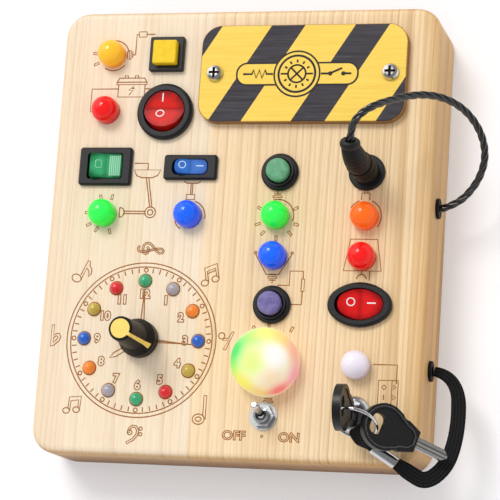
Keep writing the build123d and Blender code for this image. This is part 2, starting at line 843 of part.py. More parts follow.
def button_stem_body(at):
    """The stem below a button's cap, with the clip that holds it in."""
    disc(at, clip_top - clip_height, cap_low_z, button_stem)
    disc(at, clip_top - clip_height, clip_top, button_clip)


def round_housing(at):
    """A round push button's housing: its bezel and collar over the bush."""
    disc(at, front, front + button_bezel_height, button_bezel)
    disc(at, front, front + button_collar_height, button_collar)
    button_bush_body(at)
    rim = button_bezel / 2
    lip = cap_bore / 2
    top = front + button_bezel_height
    mouth = front + button_collar_height
    turned(at, [(rim - 0.8, top), (rim + 1, top), (rim + 1, top - 1.8)], mode=Mode.SUBTRACT)
    turned(at, [(lip - 0.1, mouth - 0.5), (lip + 0.5, mouth), (lip - 0.1, mouth)], mode=Mode.SUBTRACT)


def round_cap(at):
    """A round push button's cap, with a softly domed top."""
    radius = button_cap_diameter / 2
    top = front + button_cap_rise
    disc(at, cap_low_z, top - 0.8, button_cap_diameter)
    turned(at, [(0, top - 0.8), (radius, top - 0.8), (0.92 * radius, top - 0.3), (0.75 * radius, top - 0.06),
                (0.4 * radius, top), (0, top)])
    button_stem_body(at)


with BuildPart() as round_button_housings:
    for spot in round_buttons:
        round_housing(spot)

with BuildPart() as green_button_cap:
    round_cap(green_button_at)
with BuildPart() as blue_button_cap:
    round_cap(blue_button_at)

square_cap_low = front + square_bezel_height - 0.3
square_well_floor = square_cap_low - square_travel - square_well_clearance
with BuildPart() as square_button_housing:
    slab(square_button_at, front, front + square_bezel_height, square_bezel, square_bezel, 0.8)
    chamfer(square_button_housing.faces().sort_by(Axis.Z)[-1].edges(), 0.4)
    disc(square_button_at, button_bush_low, front, button_bush)
    slab(square_button_at, square_well_floor, front + square_bezel_height,
         square_cap + 2 * sliding_gap, square_cap + 2 * sliding_gap, 0.8, mode=Mode.SUBTRACT)
    disc(square_button_at, button_floor_z, front + 1, cap_bore, mode=Mode.SUBTRACT)
    disc(square_button_at, chamber_top, button_floor_z, button_stem + 2 * sliding_gap,
         mode=Mode.SUBTRACT)
    disc(square_button_at, chamber_low, chamber_top, button_clip + 2, mode=Mode.SUBTRACT)

with BuildPart() as square_button_cap:
    slab(square_button_at, square_cap_low, square_cap_low + square_cap_height, square_cap, square_cap, 0.7)
    fillet(square_button_cap.faces().sort_by(Axis.Z)[-1].edges(), 0.6)
    disc(square_button_at, cap_low_z, square_cap_low, button_cap_diameter)
    button_stem_body(square_button_at)

with BuildPart() as button_springs:
    spring_height = button_spring_room - 2 * (button_spring_wire / 2 + seat_gap / 2)
    spring_low = button_floor_z + button_spring_wire / 2 + seat_gap / 2
    for spot in all_buttons:
        with BuildLine(Plane((spot[0], spot[1], spring_low))) as coil:
            Helix(spring_height / button_spring_turns, spring_height, button_spring_diameter / 2)
        with BuildSketch(Plane(coil.line @ 0, z_dir=coil.line % 0)) as wire:
            Circle(button_spring_wire / 2)
        sweep(wire.sketch, path=coil.line, is_frenet=True)

nut_low = inner - nut_thickness
toggle_nut_low = front + toggle_washer_height
with BuildPart() as panel_nuts:
    for spot in all_buttons:
        nut(spot, button_nut, button_bush, nut_low, inner)
    nut(jack_at, jack_nut, jack_barrel, nut_low, inner)
    nut(lock_at, lock_nut, lock_barrel, nut_low, inner)
    nut(dial_at, selector_nut, selector_bushing, front, front + selector_nut_height)
    disc(toggle_at, front, toggle_nut_low, toggle_washer)
    disc(toggle_at, front, toggle_nut_low, toggle_bushing + 2 * hole_gap, mode=Mode.SUBTRACT)
    nut(toggle_at, toggle_nut, toggle_bushing, toggle_nut_low, toggle_nut_low + toggle_nut_height)


# ---------------------------------------------------------------- rocker switches
def face_top(rocker):
    """The height of the pressed half of a rocker."""
    return front + rocker.bezel_height + rocker.rise


def pivot_height(rocker):
    """The height of a rocker's pin."""
    return face_top(rocker) - rocker_crown * cos(radians(rocker_tilt))


def pin_plane(rocker, tilt=0.0):
    """The plane across the pin: X runs along the rocker, Y points up, less a tilt of the far end."""
    along = Vector(1, 0, 0).rotate(Axis.Z, rocker.turn)
    up = Vector(0, 0, 1)
    pivot = (rocker.at[0], rocker.at[1], pivot_height(rocker))
    return Plane(pivot, x_dir=along * cos(radians(tilt)) - up * sin(radians(tilt)),
                 z_dir=along.cross(up))


def rocker_cap(rocker):
    """The rocking cap, at rest with its far half pressed, on two short pins.

    Its plan outline is cut twice, upright in each of its two resting tilts, so that it clears the
    window either way.
    """
    tilted = pin_plane(rocker, rocker_tilt)
    reach = rocker.length / 2
    crest = rocker_crown + reach * tan(radians(rocker_tilt))
    lobe = rocker_lobe / 2
    waist = -rocker_lip - 1
    with BuildSketch(tilted) as section:
        with BuildLine():
            Polyline((-reach, crest), (0, rocker_crown), (reach, crest), (reach, -rocker_lip),
                     (lobe, waist), (lobe, -rocker_depth), (-lobe, -rocker_depth), (-lobe, waist),
                     (-reach, -rocker_lip), close=True)
        make_face()
    extrude(section.sketch, amount=rocker.width / 2, both=True)
    for turn in (0, 2 * rocker_tilt):
        upright = pin_plane(rocker, turn)
        with BuildSketch(Plane(upright.origin, x_dir=upright.x_dir, z_dir=upright.y_dir)) as plan:
            rocker_outline(rocker, rocker.length - 2 * rocker_end_gap,
                           rocker.width - 2 * rocker_end_gap)
        extrude(plan.sketch, amount=2 * rocker.length, both=True, mode=Mode.INTERSECT)
    with BuildSketch(tilted) as pin:
        Circle(rocker_pin / 2)
    extrude(pin.sketch, amount=rocker.width / 2 + rocker_pin_reach, both=True)


def rocker_housing(rocker):
    """The bezel and body of a rocker switch, open at the window, with blind holes for the pins."""
    top = front + rocker.bezel_height
    floor_z = pivot_height(rocker) - rocker_room
    rocker_prism(rocker, front, top, rocker.bezel_length, rocker.bezel_width)
    rocker_prism(rocker, floor_z - rocker_floor, front, rocker.length + 2 * rocker_wall,
                 rocker.width + 2 * rocker_wall)
    rocker_prism(rocker, floor_z, top, rocker.length, rocker.width, mode=Mode.SUBTRACT)
    with BuildSketch(pin_plane(rocker)) as pin_hole:
        Circle(rocker_pin / 2 + running_gap)
    extrude(pin_hole.sketch, amount=rocker.width / 2 + rocker_pin_reach + running_gap, both=True,
            mode=Mode.SUBTRACT)


with BuildPart() as round_rocker_housing:
    rocker_housing(round_switch)
    chamfer(round_rocker_housing.faces().sort_by(Axis.Z)[-1].outer_wire().edges(), 1)
with BuildPart() as round_rocker:
    rocker_cap(round_switch)
with BuildPart() as green_rocker_housing:
    rocker_housing(green_switch)
    chamfer(green_rocker_housing.faces().sort_by(Axis.Z)[-1].outer_wire().edges(), 0.7)
with BuildPart() as green_rocker:
    rocker_cap(green_switch)
with BuildPart() as blue_rocker_housing:
    rocker_housing(blue_switch)
    chamfer(blue_rocker_housing.faces().sort_by(Axis.Z)[-1].outer_wire().edges(), 0.7)
with BuildPart() as blue_rocker:
    rocker_cap(blue_switch)
with BuildPart() as oval_rocker_housing:
    rocker_housing(oval_switch)
    chamfer(oval_rocker_housing.faces().sort_by(Axis.Z)[-1].outer_wire().edges(), 0.9)
with BuildPart() as oval_rocker:
    rocker_cap(oval_switch)


# ---------------------------------------------------------------- toggle switch
toggle_pivot_z = front + toggle_pivot_rise
toggle_low = inner - toggle_body_depth
with BuildPart() as toggle_body:
    block(toggle_at, toggle_low, inner, toggle_body_width, toggle_body_length)
    block(toggle_at, toggle_low + 2, inner, toggle_bore, toggle_bore + 2, mode=Mode.SUBTRACT)

with BuildPart() as toggle_bush:
    disc(toggle_at, inner, front + toggle_bushing_rise, toggle_bushing)
    disc(toggle_at, inner, front + toggle_bushing_rise, toggle_bore, mode=Mode.SUBTRACT)
    with BuildSketch(Plane((toggle_at[0], toggle_at[1], toggle_pivot_z), z_dir=(1, 0, 0))) as cross_hole:
        Circle(toggle_pin / 2 + running_gap)
    extrude(cross_hole.sketch, amount=toggle_bushing / 2, both=True, mode=Mode.SUBTRACT)

with BuildPart() as toggle_lever:
    lean = radians(toggle_swing)
    lever_plane = Plane((toggle_at[0], toggle_at[1], toggle_pivot_z), x_dir=(1, 0, 0),
                        z_dir=(0, sin(lean), cos(lean)))
    ball = toggle_bore / 2 - running_gap
    with BuildSketch(Plane(lever_plane.origin, x_dir=lever_plane.x_dir,
                           z_dir=-lever_plane.y_dir)) as profile:
        with BuildLine():
            Polyline(
                (0, -toggle_lever_tail), (toggle_tail_diameter / 2, -toggle_lever_tail),
                (toggle_tail_diameter / 2, -ball / 2), (ball, -ball / 3), (ball, ball / 3),
                (toggle_lever_root / 2, ball), (toggle_lever_tip / 2, toggle_lever_length - 1),
                (toggle_lever_tip / 2 - 0.4, toggle_lever_length - 0.2),
                (toggle_lever_tip / 4, toggle_lever_length), (0, toggle_lever_length), close=True)
        make_face()
    revolve(axis=Axis(lever_plane.origin, lever_plane.z_dir))
    with BuildSketch(Plane(lever_plane.origin, z_dir=(1, 0, 0))) as cross_pin:
        Circle(toggle_pin / 2)
    extrude(amount=toggle_bushing / 2 - 0.3, both=True)


# ---------------------------------------------------------------- selector switch, shaft and knob
selector_low = inner - selector_depth
shaft_top = front + selector_shaft_rise
knob_low = front + knob_clearance
knob_high = front + knob_height
with BuildPart() as selector_switch:
    disc(dial_at, selector_low, inner, selector_body)
    disc(dial_at, inner, front + selector_bushing_rise, selector_bushing)
    disc(dial_at, selector_low + 2, front + selector_bushing_rise, selector_shaft + 2 * running_gap,
         mode=Mode.SUBTRACT)
    disc(dial_at, selector_low + 2, selector_low + 5, selector_shaft + 6, mode=Mode.SUBTRACT)

with BuildPart() as selector_spindle:
    disc(dial_at, selector_low + 2 + seat_gap, shaft_top, selector_shaft)
    disc(dial_at, selector_low + 2 + seat_gap, selector_low + 5 - seat_gap, selector_shaft + 4)



def knob_profile(inset=0.0):
    """The knob's half outline as (radius, height) points, or the same drawn in by an inset."""
    skirt = knob_skirt / 2 - inset
    top = knob_top / 2 - inset
    shoulder = knob_low + knob_skirt_height
    high = knob_high - inset
    return [(0, knob_low), (skirt - 0.3, knob_low), (skirt, knob_low + 0.5), (skirt, shoulder - 1),
            (skirt - 0.5, shoulder), (top + 0.7, shoulder + 3), (top, high - 0.6), (top - 0.5, high),
            (0, high)]


with BuildPart() as knob_cap:
    turned(dial_at, knob_profile())
    turned(dial_at, knob_profile(knob_line_depth), mode=Mode.SUBTRACT)
    with BuildSketch(Plane((dial_at[0], dial_at[1], knob_low + knob_skirt_height)).rotated(
            (0, 0, knob_pointer_angle))) as pointer:
        with BuildLine():
            Polyline((0, -knob_line_width / 2), (knob_top / 2, -knob_line_width / 2),
                     (knob_skirt / 2, -knob_line_width), (knob_skirt / 2, knob_line_width),
                     (knob_top / 2, knob_line_width / 2), (0, knob_line_width / 2), close=True)
        make_face()
    extrude(pointer.sketch, amount=knob_height, mode=Mode.INTERSECT)
    disc(dial_at, knob_high - knob_cap_depth, knob_high, knob_cap_diameter)

with BuildPart() as knob:
    turned(dial_at, knob_profile())
    disc(dial_at, knob_low, knob_low + knob_recess_depth, knob_recess, mode=Mode.SUBTRACT)
    disc(dial_at, knob_low, shaft_top + seat_gap, selector_shaft + 2 * thread_gap, mode=Mode.SUBTRACT)
    add(knob_cap.part, mode=Mode.SUBTRACT)


# ---------------------------------------------------------------- key lock
plug_face = front + lock_plug_rise
plug_low = lock_barrel_low + lock_floor + seat_gap
with BuildPart() as lock_shell:
    disc(lock_at, lock_barrel_low, front, lock_barrel)
    rim = lock_bezel / 2
    mouth = lock_plug / 2 + running_gap
    turned(lock_at, [
        (0, front), (rim, front), (rim, front + 0.6), (0.93 * rim, front + 0.5 * lock_bezel_height),
        (0.8 * rim, front + 0.85 * lock_bezel_height), (0.7 * rim, front + lock_bezel_height),
        (0, front + lock_bezel_height),
    ])
    disc(lock_at, lock_barrel_low + lock_floor, front + lock_bezel_height, 2 * mouth, mode=Mode.SUBTRACT)
    disc(lock_at, lock_barrel_low, lock_barrel_low + lock_floor, lock_tail + 2 * running_gap,
         mode=Mode.SUBTRACT)

key_bow_low = plug_face + key_bow_clear_of_lock
key_end_z = key_bow_low + key_bow_length
blade_tip_z = key_bow_low - key_blade_length
with BuildPart() as lock_core:
    disc(lock_at, plug_low, plug_face, lock_plug)
    clip_z = lock_barrel_low - seat_gap
    disc(lock_at, clip_z - lock_tail_length, plug_low, lock_tail)
    disc(lock_at, clip_z - 1.2, clip_z, lock_clip)
    block(lock_at, blade_tip_z - keyway_depth_gap, plug_face, key_blade_thickness + 2 * keyway_gap,
          key_blade_width + 2 * keyway_gap, mode=Mode.SUBTRACT)


# ---------------------------------------------------------------- keys, drawn from the far end of the bow
def bow_outline(margin=0.0):
    """The bow's outline, or the same drawn in by a margin: a round end, two notches and a shoulder."""
    with BuildSketch() as outline:
        with Locations((key_bow_width / 2 - 0.8, 0)):
            Circle(key_bow_width / 2 - margin)
        with Locations((key_bow_length - 1 - margin, 0)):
            Rectangle(2, key_shoulder_width - 2 * margin)
        make_hull()
        with Locations(key_notch_at, (key_notch_at[0], -key_notch_at[1])):
            Circle(key_notch / 2 + margin, mode=Mode.SUBTRACT)
    return outline.sketch


def key_bow(plane):
    """A moulded bow with a shallow recess on each face and a hole for the ring."""
    half = key_bow_thickness / 2
    extrude(plane * bow_outline(), amount=half, both=True)
    for way in (-1, 1):
        face = plane.offset(way * half)
        extrude(face * bow_outline(key_bow_rim), amount=-way * key_bow_recess, mode=Mode.SUBTRACT)
    with BuildSketch(plane) as hole:
        with Locations((key_hole_centre, 0)):
            RectangleRounded(key_hole_length, key_hole_width, 0.45 * key_hole_length)
    extrude(hole.sketch, amount=half, both=True, mode=Mode.SUBTRACT)
    blade_block(plane, key_bow_length - key_blade_root, key_bow_length, mode=Mode.SUBTRACT)


def blade_block(plane, start, end, mode=Mode.ADD):
    """The plain bar of a key's blade, or the slot that it is moulded into."""
    with BuildSketch(plane) as bar:
        with Locations(((start + end) / 2, 0)):
            Rectangle(end - start, key_blade_width)
    extrude(bar.sketch, amount=key_blade_thickness / 2, both=True, mode=mode)


def key_blade(plane):
    """A steel blade with a groove along each face and a pointed tip."""
    tip = key_bow_length + key_blade_length
    with BuildSketch(plane) as bar:
        with BuildLine():
            half = key_blade_width / 2
            root = key_bow_length - key_blade_root
            Polyline((root, -half), (tip - half, -half), (tip, -half / 3), (tip, half / 3),
                     (tip - half, half), (root, half), close=True)
        make_face()
    extrude(bar.sketch, amount=key_blade_thickness / 2, both=True)
    for way in (-1, 1):
        with BuildSketch(plane.offset(way * key_blade_thickness / 2)) as groove:
            with Locations((tip, way * key_blade_width / 5)):
                Rectangle(2 * key_blade_length, key_groove_width)
        extrude(groove.sketch, amount=-way * key_groove_depth, mode=Mode.SUBTRACT)


inserted_plane = Plane((lock_at[0], lock_at[1], key_end_z), x_dir=(0, 0, -1), z_dir=(1, 0, 0))
with BuildPart() as key_bow_part:
    key_bow(inserted_plane)
with BuildPart() as key_blade_part:
    key_blade(inserted_plane)

ring_plane = Plane(ring_centre, x_dir=Vector(0, 0, 1).cross(Vector(ring_normal)), z_dir=ring_normal)
with BuildPart() as key_ring:
    with Locations(ring_plane):
        Torus(ring_radius, ring_wire / 2)

ring_right = ring_plane.from_local_coords((-ring_radius, 0, 0))
spare_way = Vector(spare_direction).normalized()
spare_upright = (Vector(0, 0, 1) - spare_way * spare_way.Z).normalized()
spare_up = spare_upright.rotate(Axis((0, 0, 0), spare_way), -spare_roll)
spare_across = spare_up.cross(spare_way)
spare_end = ring_right - spare_way * spare_hook + spare_across * spare_shift
spare_plane = Plane(spare_end, x_dir=spare_way, z_dir=spare_up)
with BuildPart() as spare_key_bow:
    key_bow(spare_plane)
with BuildPart() as spare_key_blade:
    key_blade(spare_plane)


# ---------------------------------------------------------------- key strap, ferrule and grommets
def bend_radii(points):
    """The largest bend at each corner of a route: 0.45 of its shorter run over tan(half the turn)."""
    radii = []
    for before, corner, after in zip(points, points[1:], points[2:]):
        arriving = Vector(corner) - Vector(before)
        leaving = Vector(after) - Vector(corner)
        shorter = min(arriving.length, leaving.length)
        radii.append(0.45 * shorter / tan(radians(arriving.get_angle(leaving) / 2)))
    return radii


ferrule_way = (Vector(ferrule_bottom) - Vector(ferrule_top)).normalized()
ferrule_length = (Vector(ferrule_bottom) - Vector(ferrule_top)).length
ferrule_plane = Plane(ferrule_top, z_dir=ferrule_way)
with BuildPart() as strap_ferrule:
    with BuildSketch(ferrule_plane) as tube:
        Circle(ferrule_diameter / 2)
        Circle(strap_stub / 2 + thread_gap, mode=Mode.SUBTRACT)
    extrude(amount=ferrule_length)

hook_turn = radians(strap_hook_angle)
hook = ring_plane.from_local_coords((ring_radius * cos(hook_turn), ring_radius * sin(hook_turn), 0))
hook_way = ring_plane.x_dir * -sin(hook_turn) + ring_plane.y_dir * cos(hook_turn)
eye_way = (hook - Vector(ferrule_top)).normalized()
eye_across = (hook_way - eye_way * hook_way.dot(eye_way)).normalized()
eye_plane = Plane(ferrule_top, x_dir=eye_way, z_dir=eye_across)
eye_height = eye_opening + 2 * strap_thickness
strap_points = strap_route + [tuple(Vector(ferrule_bottom) + ferrule_way * 0.6)]
strap_radii = bend_radii(strap_points)
print("strap radii", [round(r, 1) for r in strap_radii])
with BuildPart() as key_strap:
    with BuildLine() as strap_line:
        FilletPolyline(*strap_points, radius=strap_radii)
    run = strap_line.line % 0
    with BuildSketch(Plane(strap_line.line @ 0, x_dir=Vector(0, 0, 1).cross(run), z_dir=run)) as band:
        Rectangle(strap_width, strap_thickness)
    sweep(band.sketch, path=strap_line.line)
    with BuildSketch(Plane(Vector(ferrule_bottom) + ferrule_way * 1.4, z_dir=-ferrule_way)) as stub:
        Circle(strap_stub / 2)
    extrude(stub.sketch, amount=ferrule_length + 1.4 + 0.8)
    with Locations(Vector(ferrule_top) - ferrule_way * 0.8):
        Sphere(strap_stub / 2)
    with BuildSketch(eye_plane) as eye:
        with Locations((eye_start + eye_length / 2, 0)):
            RectangleRounded(eye_length, eye_height, 0.48 * eye_height)
            RectangleRounded(eye_length - 2 * strap_thickness, eye_opening, 0.48 * eye_opening,
                             mode=Mode.SUBTRACT)
    extrude(eye.sketch, amount=eye_width / 2, both=True)
    side_bore(strap_exit, wall + 2.9, strap_stub, mode=Mode.ADD, start=2.2)
    side_bore(strap_exit, stop_height, stop_width, mode=Mode.ADD, start=-wall - seat_gap)
print("strap length", round(strap_line.wire().length, 1))

with BuildPart() as grommets:
    for spot, bore in ((cable_exit, cable_diameter), (strap_exit, strap_stub)):
        side_bore(spot, grommet_flange_height, grommet_flange, mode=Mode.ADD, start=grommet_flange_height)
        side_bore(spot, wall, grommet_shank, mode=Mode.ADD)
        side_bore(spot, wall + grommet_flange_height, bore + 2 * thread_gap,
                  start=grommet_flange_height)


# ---------------------------------------------------------------- power jack, plug and cable
jack_top = front + jack_flange_height
plug_base = jack_top + seat_gap
plug_top = plug_base + plug_body_height
socket_low = plug_base - plug_shell_length - 1
with BuildPart() as power_jack:
    disc(jack_at, jack_barrel_low, front, jack_barrel)
    disc(jack_at, front, jack_top, jack_flange)
    chamfer(power_jack.faces().sort_by(Axis.Z)[-1].edges(), 0.6)
    disc(jack_at, socket_low, jack_top, jack_socket, mode=Mode.SUBTRACT)
    disc(jack_at, socket_low, jack_top - 2, jack_pin)

with BuildPart() as power_plug:
    disc(jack_at, plug_base, plug_top, plug_body)
    for n in range(3):
        groove_z = plug_top - 1.5 - n * plug_groove_pitch
        disc(jack_at, groove_z - 0.4, groove_z + 0.4, plug_body + 1, mode=Mode.SUBTRACT)
        disc(jack_at, groove_z - 0.4, groove_z + 0.4, plug_body - 2 * plug_groove)
    neck_end = Vector(jack_at[0], jack_at[1] + plug_neck_lean, plug_top + plug_neck_height)
    neck_way = Vector(sin(radians(plug_neck_tilt)) * sin(radians(plug_neck_heading)),
                      sin(radians(plug_neck_tilt)) * cos(radians(plug_neck_heading)),
                      cos(radians(plug_neck_tilt)))
    neck_plane = Plane(neck_end, x_dir=(1, 0, 0), z_dir=neck_way)
    bend_at = Vector(jack_at[0], jack_at[1] + plug_neck_lean / 4, plug_top + 0.6 * plug_neck_height)
    bend_way = (neck_way + Vector(0, 0, 3)).normalized()
    with BuildSketch(Plane((jack_at[0], jack_at[1], plug_top), x_dir=(1, 0, 0))) as neck_base:
        Circle(plug_neck_base / 2)
    with BuildSketch(Plane(bend_at, x_dir=(1, 0, 0), z_dir=bend_way)) as neck_middle:
        Circle(0.45 * plug_neck_base)
    with BuildSketch(neck_plane) as neck_tip:
        Circle(plug_neck_top / 2)
    loft(sections=[neck_base.sketch, neck_middle.sketch, neck_tip.sketch])
    disc(jack_at, plug_base, plug_base + 4, plug_shell, mode=Mode.SUBTRACT)

with BuildPart() as plug_contact:
    disc(jack_at, plug_base - plug_shell_length, plug_base + 4, plug_shell)
    disc(jack_at, plug_base - plug_shell_length, plug_base + 3, plug_shell_bore, mode=Mode.SUBTRACT)

cable_end = (side + grommet_flange_height + 0.7, cable_exit[0], cable_exit[1])
cable_start = [tuple(neck_end), tuple(neck_end + neck_way * cable_first_run)]
cable_points = cable_start + cable_route + [cable_end]
cable_radii = bend_radii(cable_points)
print("cable radii", [round(r, 1) for r in cable_radii])
with BuildPart() as supply_cable:
    with BuildLine() as cable_line:
        FilletPolyline(*cable_points, radius=cable_radii)
    with BuildSketch(Plane(cable_line.line @ 0, z_dir=cable_line.line % 0)) as cord:
        Circle(cable_diameter / 2)
    sweep(cord.sketch, path=cable_line.line)
    side_bore(cable_exit, wall + grommet_flange_height + seat_gap + 1, cable_diameter, mode=Mode.ADD,
              start=grommet_flange_height + 1)
    side_bore(cable_exit, stop_height, stop_width, mode=Mode.ADD, start=-wall - seat_gap)
print("cable length", round(cable_line.wire().length, 1))


# ---------------------------------------------------------------- terminals
with BuildPart() as switch_terminals:
    for rocker in rockers:
        low = pivot_height(rocker) - rocker_room - rocker_floor
        along = Vector(1, 0, 0).rotate(Axis.Z, rocker.turn)
        for way in (-1, 1):
            spot = Vector(*rocker.at) + along * (way * rocker.length / 4)
            sizes = (blade_thickness, blade_width) if rocker.turn == 0 else (blade_width, blade_thickness)
            block((spot.X, spot.Y), low - blade_length, low, *sizes)
    for spot in all_buttons:
        for way in (-1, 1):
            block((spot[0] + way * 2.5, spot[1]), button_bush_low - pin_terminal_length, button_bush_low,
                  pin_terminal / 2, pin_terminal)
    for n in (-1, 0, 1):
        block((toggle_at[0], toggle_at[1] + n * 4.7), toggle_low - pin_terminal_length, toggle_low,
              pin_terminal, pin_terminal / 2)
    for way in (-1, 1):
        block((jack_at[0] + way * 3, jack_at[1]), jack_barrel_low - pin_terminal_length, jack_barrel_low,
              pin_terminal / 2, 2 * pin_terminal)
    for angle in dial_angles:
        spot = (dial_at[0] + selector_terminal_radius * cos(radians(angle)),
                dial_at[1] + selector_terminal_radius * sin(radians(angle)))
        block(spot, selector_low - pin_terminal_length / 2, selector_low, pin_terminal / 2,
              pin_terminal / 2)


# ---------------------------------------------------------------- names and files
finished = {
    "wooden_case": wooden_case,
    "back_cover": back_cover,
    "battery_holder": battery_holder,
    "battery_door": battery_door,
    "battery_cells": battery_cells,
    "battery_contacts": battery_contacts,
    "circuit_board": circuit_board,
    "circuit_board_parts": circuit_board_parts,
    "assembly_screws": assembly_screws,
    "speaker": speaker,
    "hazard_plaque": hazard_plaque,
    "plaque_screws": plaque_screws,
    "lens_amber": lens_amber,
    "lens_red": lens_red,
    "lens_green": lens_green,
    "lens_blue": lens_blue,
    "lens_orange": lens_orange,
    "lens_white": lens_white,
    "lamp_leds": lamp_leds,
    "dial_leds": dial_lamps_set,
    "dial_ring_board": dial_ring_board,
    "rgb_dome": rgb_dome,
    "rgb_lamp_module": rgb_lamp_module,
    "round_button_housings": round_button_housings,
    "green_button_cap": green_button_cap,
    "blue_button_cap": blue_button_cap,
    "square_button_housing": square_button_housing,
    "square_button_cap": square_button_cap,
    "button_springs": button_springs,
    "panel_nuts": panel_nuts,
    "round_rocker_housing": round_rocker_housing,
    "round_rocker": round_rocker,
    "green_rocker_housing": green_rocker_housing,
    "green_rocker": green_rocker,
    "blue_rocker_housing": blue_rocker_housing,
    "blue_rocker": blue_rocker,
    "oval_rocker_housing": oval_rocker_housing,
    "oval_rocker": oval_rocker,
    "switch_terminals": switch_terminals,
    "toggle_body": toggle_body,
    "toggle_bushing": toggle_bush,
    "toggle_lever": toggle_lever,
    "selector_switch": selector_switch,
    "selector_shaft": selector_spindle,
    "knob": knob,
    "knob_cap": knob_cap,
    "lock_barrel": lock_shell,
    "lock_plug": lock_core,
    "key_bow": key_bow_part,
    "key_blade": key_blade_part,
    "key_ring": key_ring,
    "spare_key_bow": spare_key_bow,
    "spare_key_blade": spare_key_blade,
    "key_strap": key_strap,
    "strap_ferrule": strap_ferrule,
    "grommets": grommets,
    "power_jack": power_jack,
    "power_plug": power_plug,
    "plug_contact": plug_contact,
    "supply_cable": supply_cable,
}
for label, piece in finished.items():
    piece.part.label = label
    export_step(piece.part, f"parts/{label}.step")
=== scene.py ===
from math import atan2, cos, pi, radians, sin

import bpy
from mathutils import Matrix, Vector


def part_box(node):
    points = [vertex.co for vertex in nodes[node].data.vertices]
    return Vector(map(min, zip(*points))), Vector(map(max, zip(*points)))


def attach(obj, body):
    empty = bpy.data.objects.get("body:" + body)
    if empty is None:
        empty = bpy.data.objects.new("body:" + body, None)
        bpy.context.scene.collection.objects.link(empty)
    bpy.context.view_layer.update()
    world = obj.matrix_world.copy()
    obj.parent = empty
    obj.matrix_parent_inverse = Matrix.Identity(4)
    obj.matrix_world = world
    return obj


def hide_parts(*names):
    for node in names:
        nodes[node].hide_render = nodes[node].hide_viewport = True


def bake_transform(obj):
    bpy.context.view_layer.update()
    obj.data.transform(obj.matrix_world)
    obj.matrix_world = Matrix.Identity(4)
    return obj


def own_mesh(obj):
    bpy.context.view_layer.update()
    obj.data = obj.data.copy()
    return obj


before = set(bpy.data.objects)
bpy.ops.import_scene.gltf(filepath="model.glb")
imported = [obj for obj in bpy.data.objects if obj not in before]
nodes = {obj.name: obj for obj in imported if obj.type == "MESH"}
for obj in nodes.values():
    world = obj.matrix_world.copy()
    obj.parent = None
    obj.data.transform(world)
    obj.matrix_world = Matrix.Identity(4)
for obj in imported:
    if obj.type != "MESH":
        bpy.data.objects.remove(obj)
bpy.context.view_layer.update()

scene = bpy.context.scene
MM = 0.001
WHITE = (1.0, 1.0, 1.0)

bpy.ops.object.select_all(action="DESELECT")


def at_mm(*place):
    """A place given in millimetres, as Blender's metres."""
    return Vector(place) * MM


def box_mm(node):
    """Lowest and highest corner of a CAD node, in millimetres."""
    low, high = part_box(node)
    return low / MM, high / MM


def middle_mm(node):
    """Where the middle of a CAD node lies on the face, in millimetres."""
    low, high = box_mm(node)
    return (low.x + high.x) / 2, (low.y + high.y) / 2


# places that the frame gives
FACE = box_mm("wooden_case")[1].z
dial_x, dial_y = middle_mm("dial_leds")
plaque_low, plaque_high = box_mm("hazard_plaque")
plaque_x, plaque_y = middle_mm("hazard_plaque")

# ---------------------------------------------------------------- camera
camera_right = Vector((0.96338, 0.06805, -0.25937))
camera_up = Vector((-0.01312, 0.97806, 0.20789))
camera_back = Vector((0.26783, -0.19687, 0.94314))
camera_data = bpy.data.cameras.new("camera")
camera_data.lens = 158.4
camera_data.sensor_width = 36
camera_data.clip_start = 0.05
camera_data.clip_end = 20
camera = bpy.data.objects.new("camera", camera_data)
scene.collection.objects.link(camera)
camera_turn = Matrix((camera_right, camera_up, camera_back)).transposed().to_4x4()
camera.matrix_world = Matrix.Translation((0.2376, -0.1776, 0.8427)) @ camera_turn
scene.camera = camera


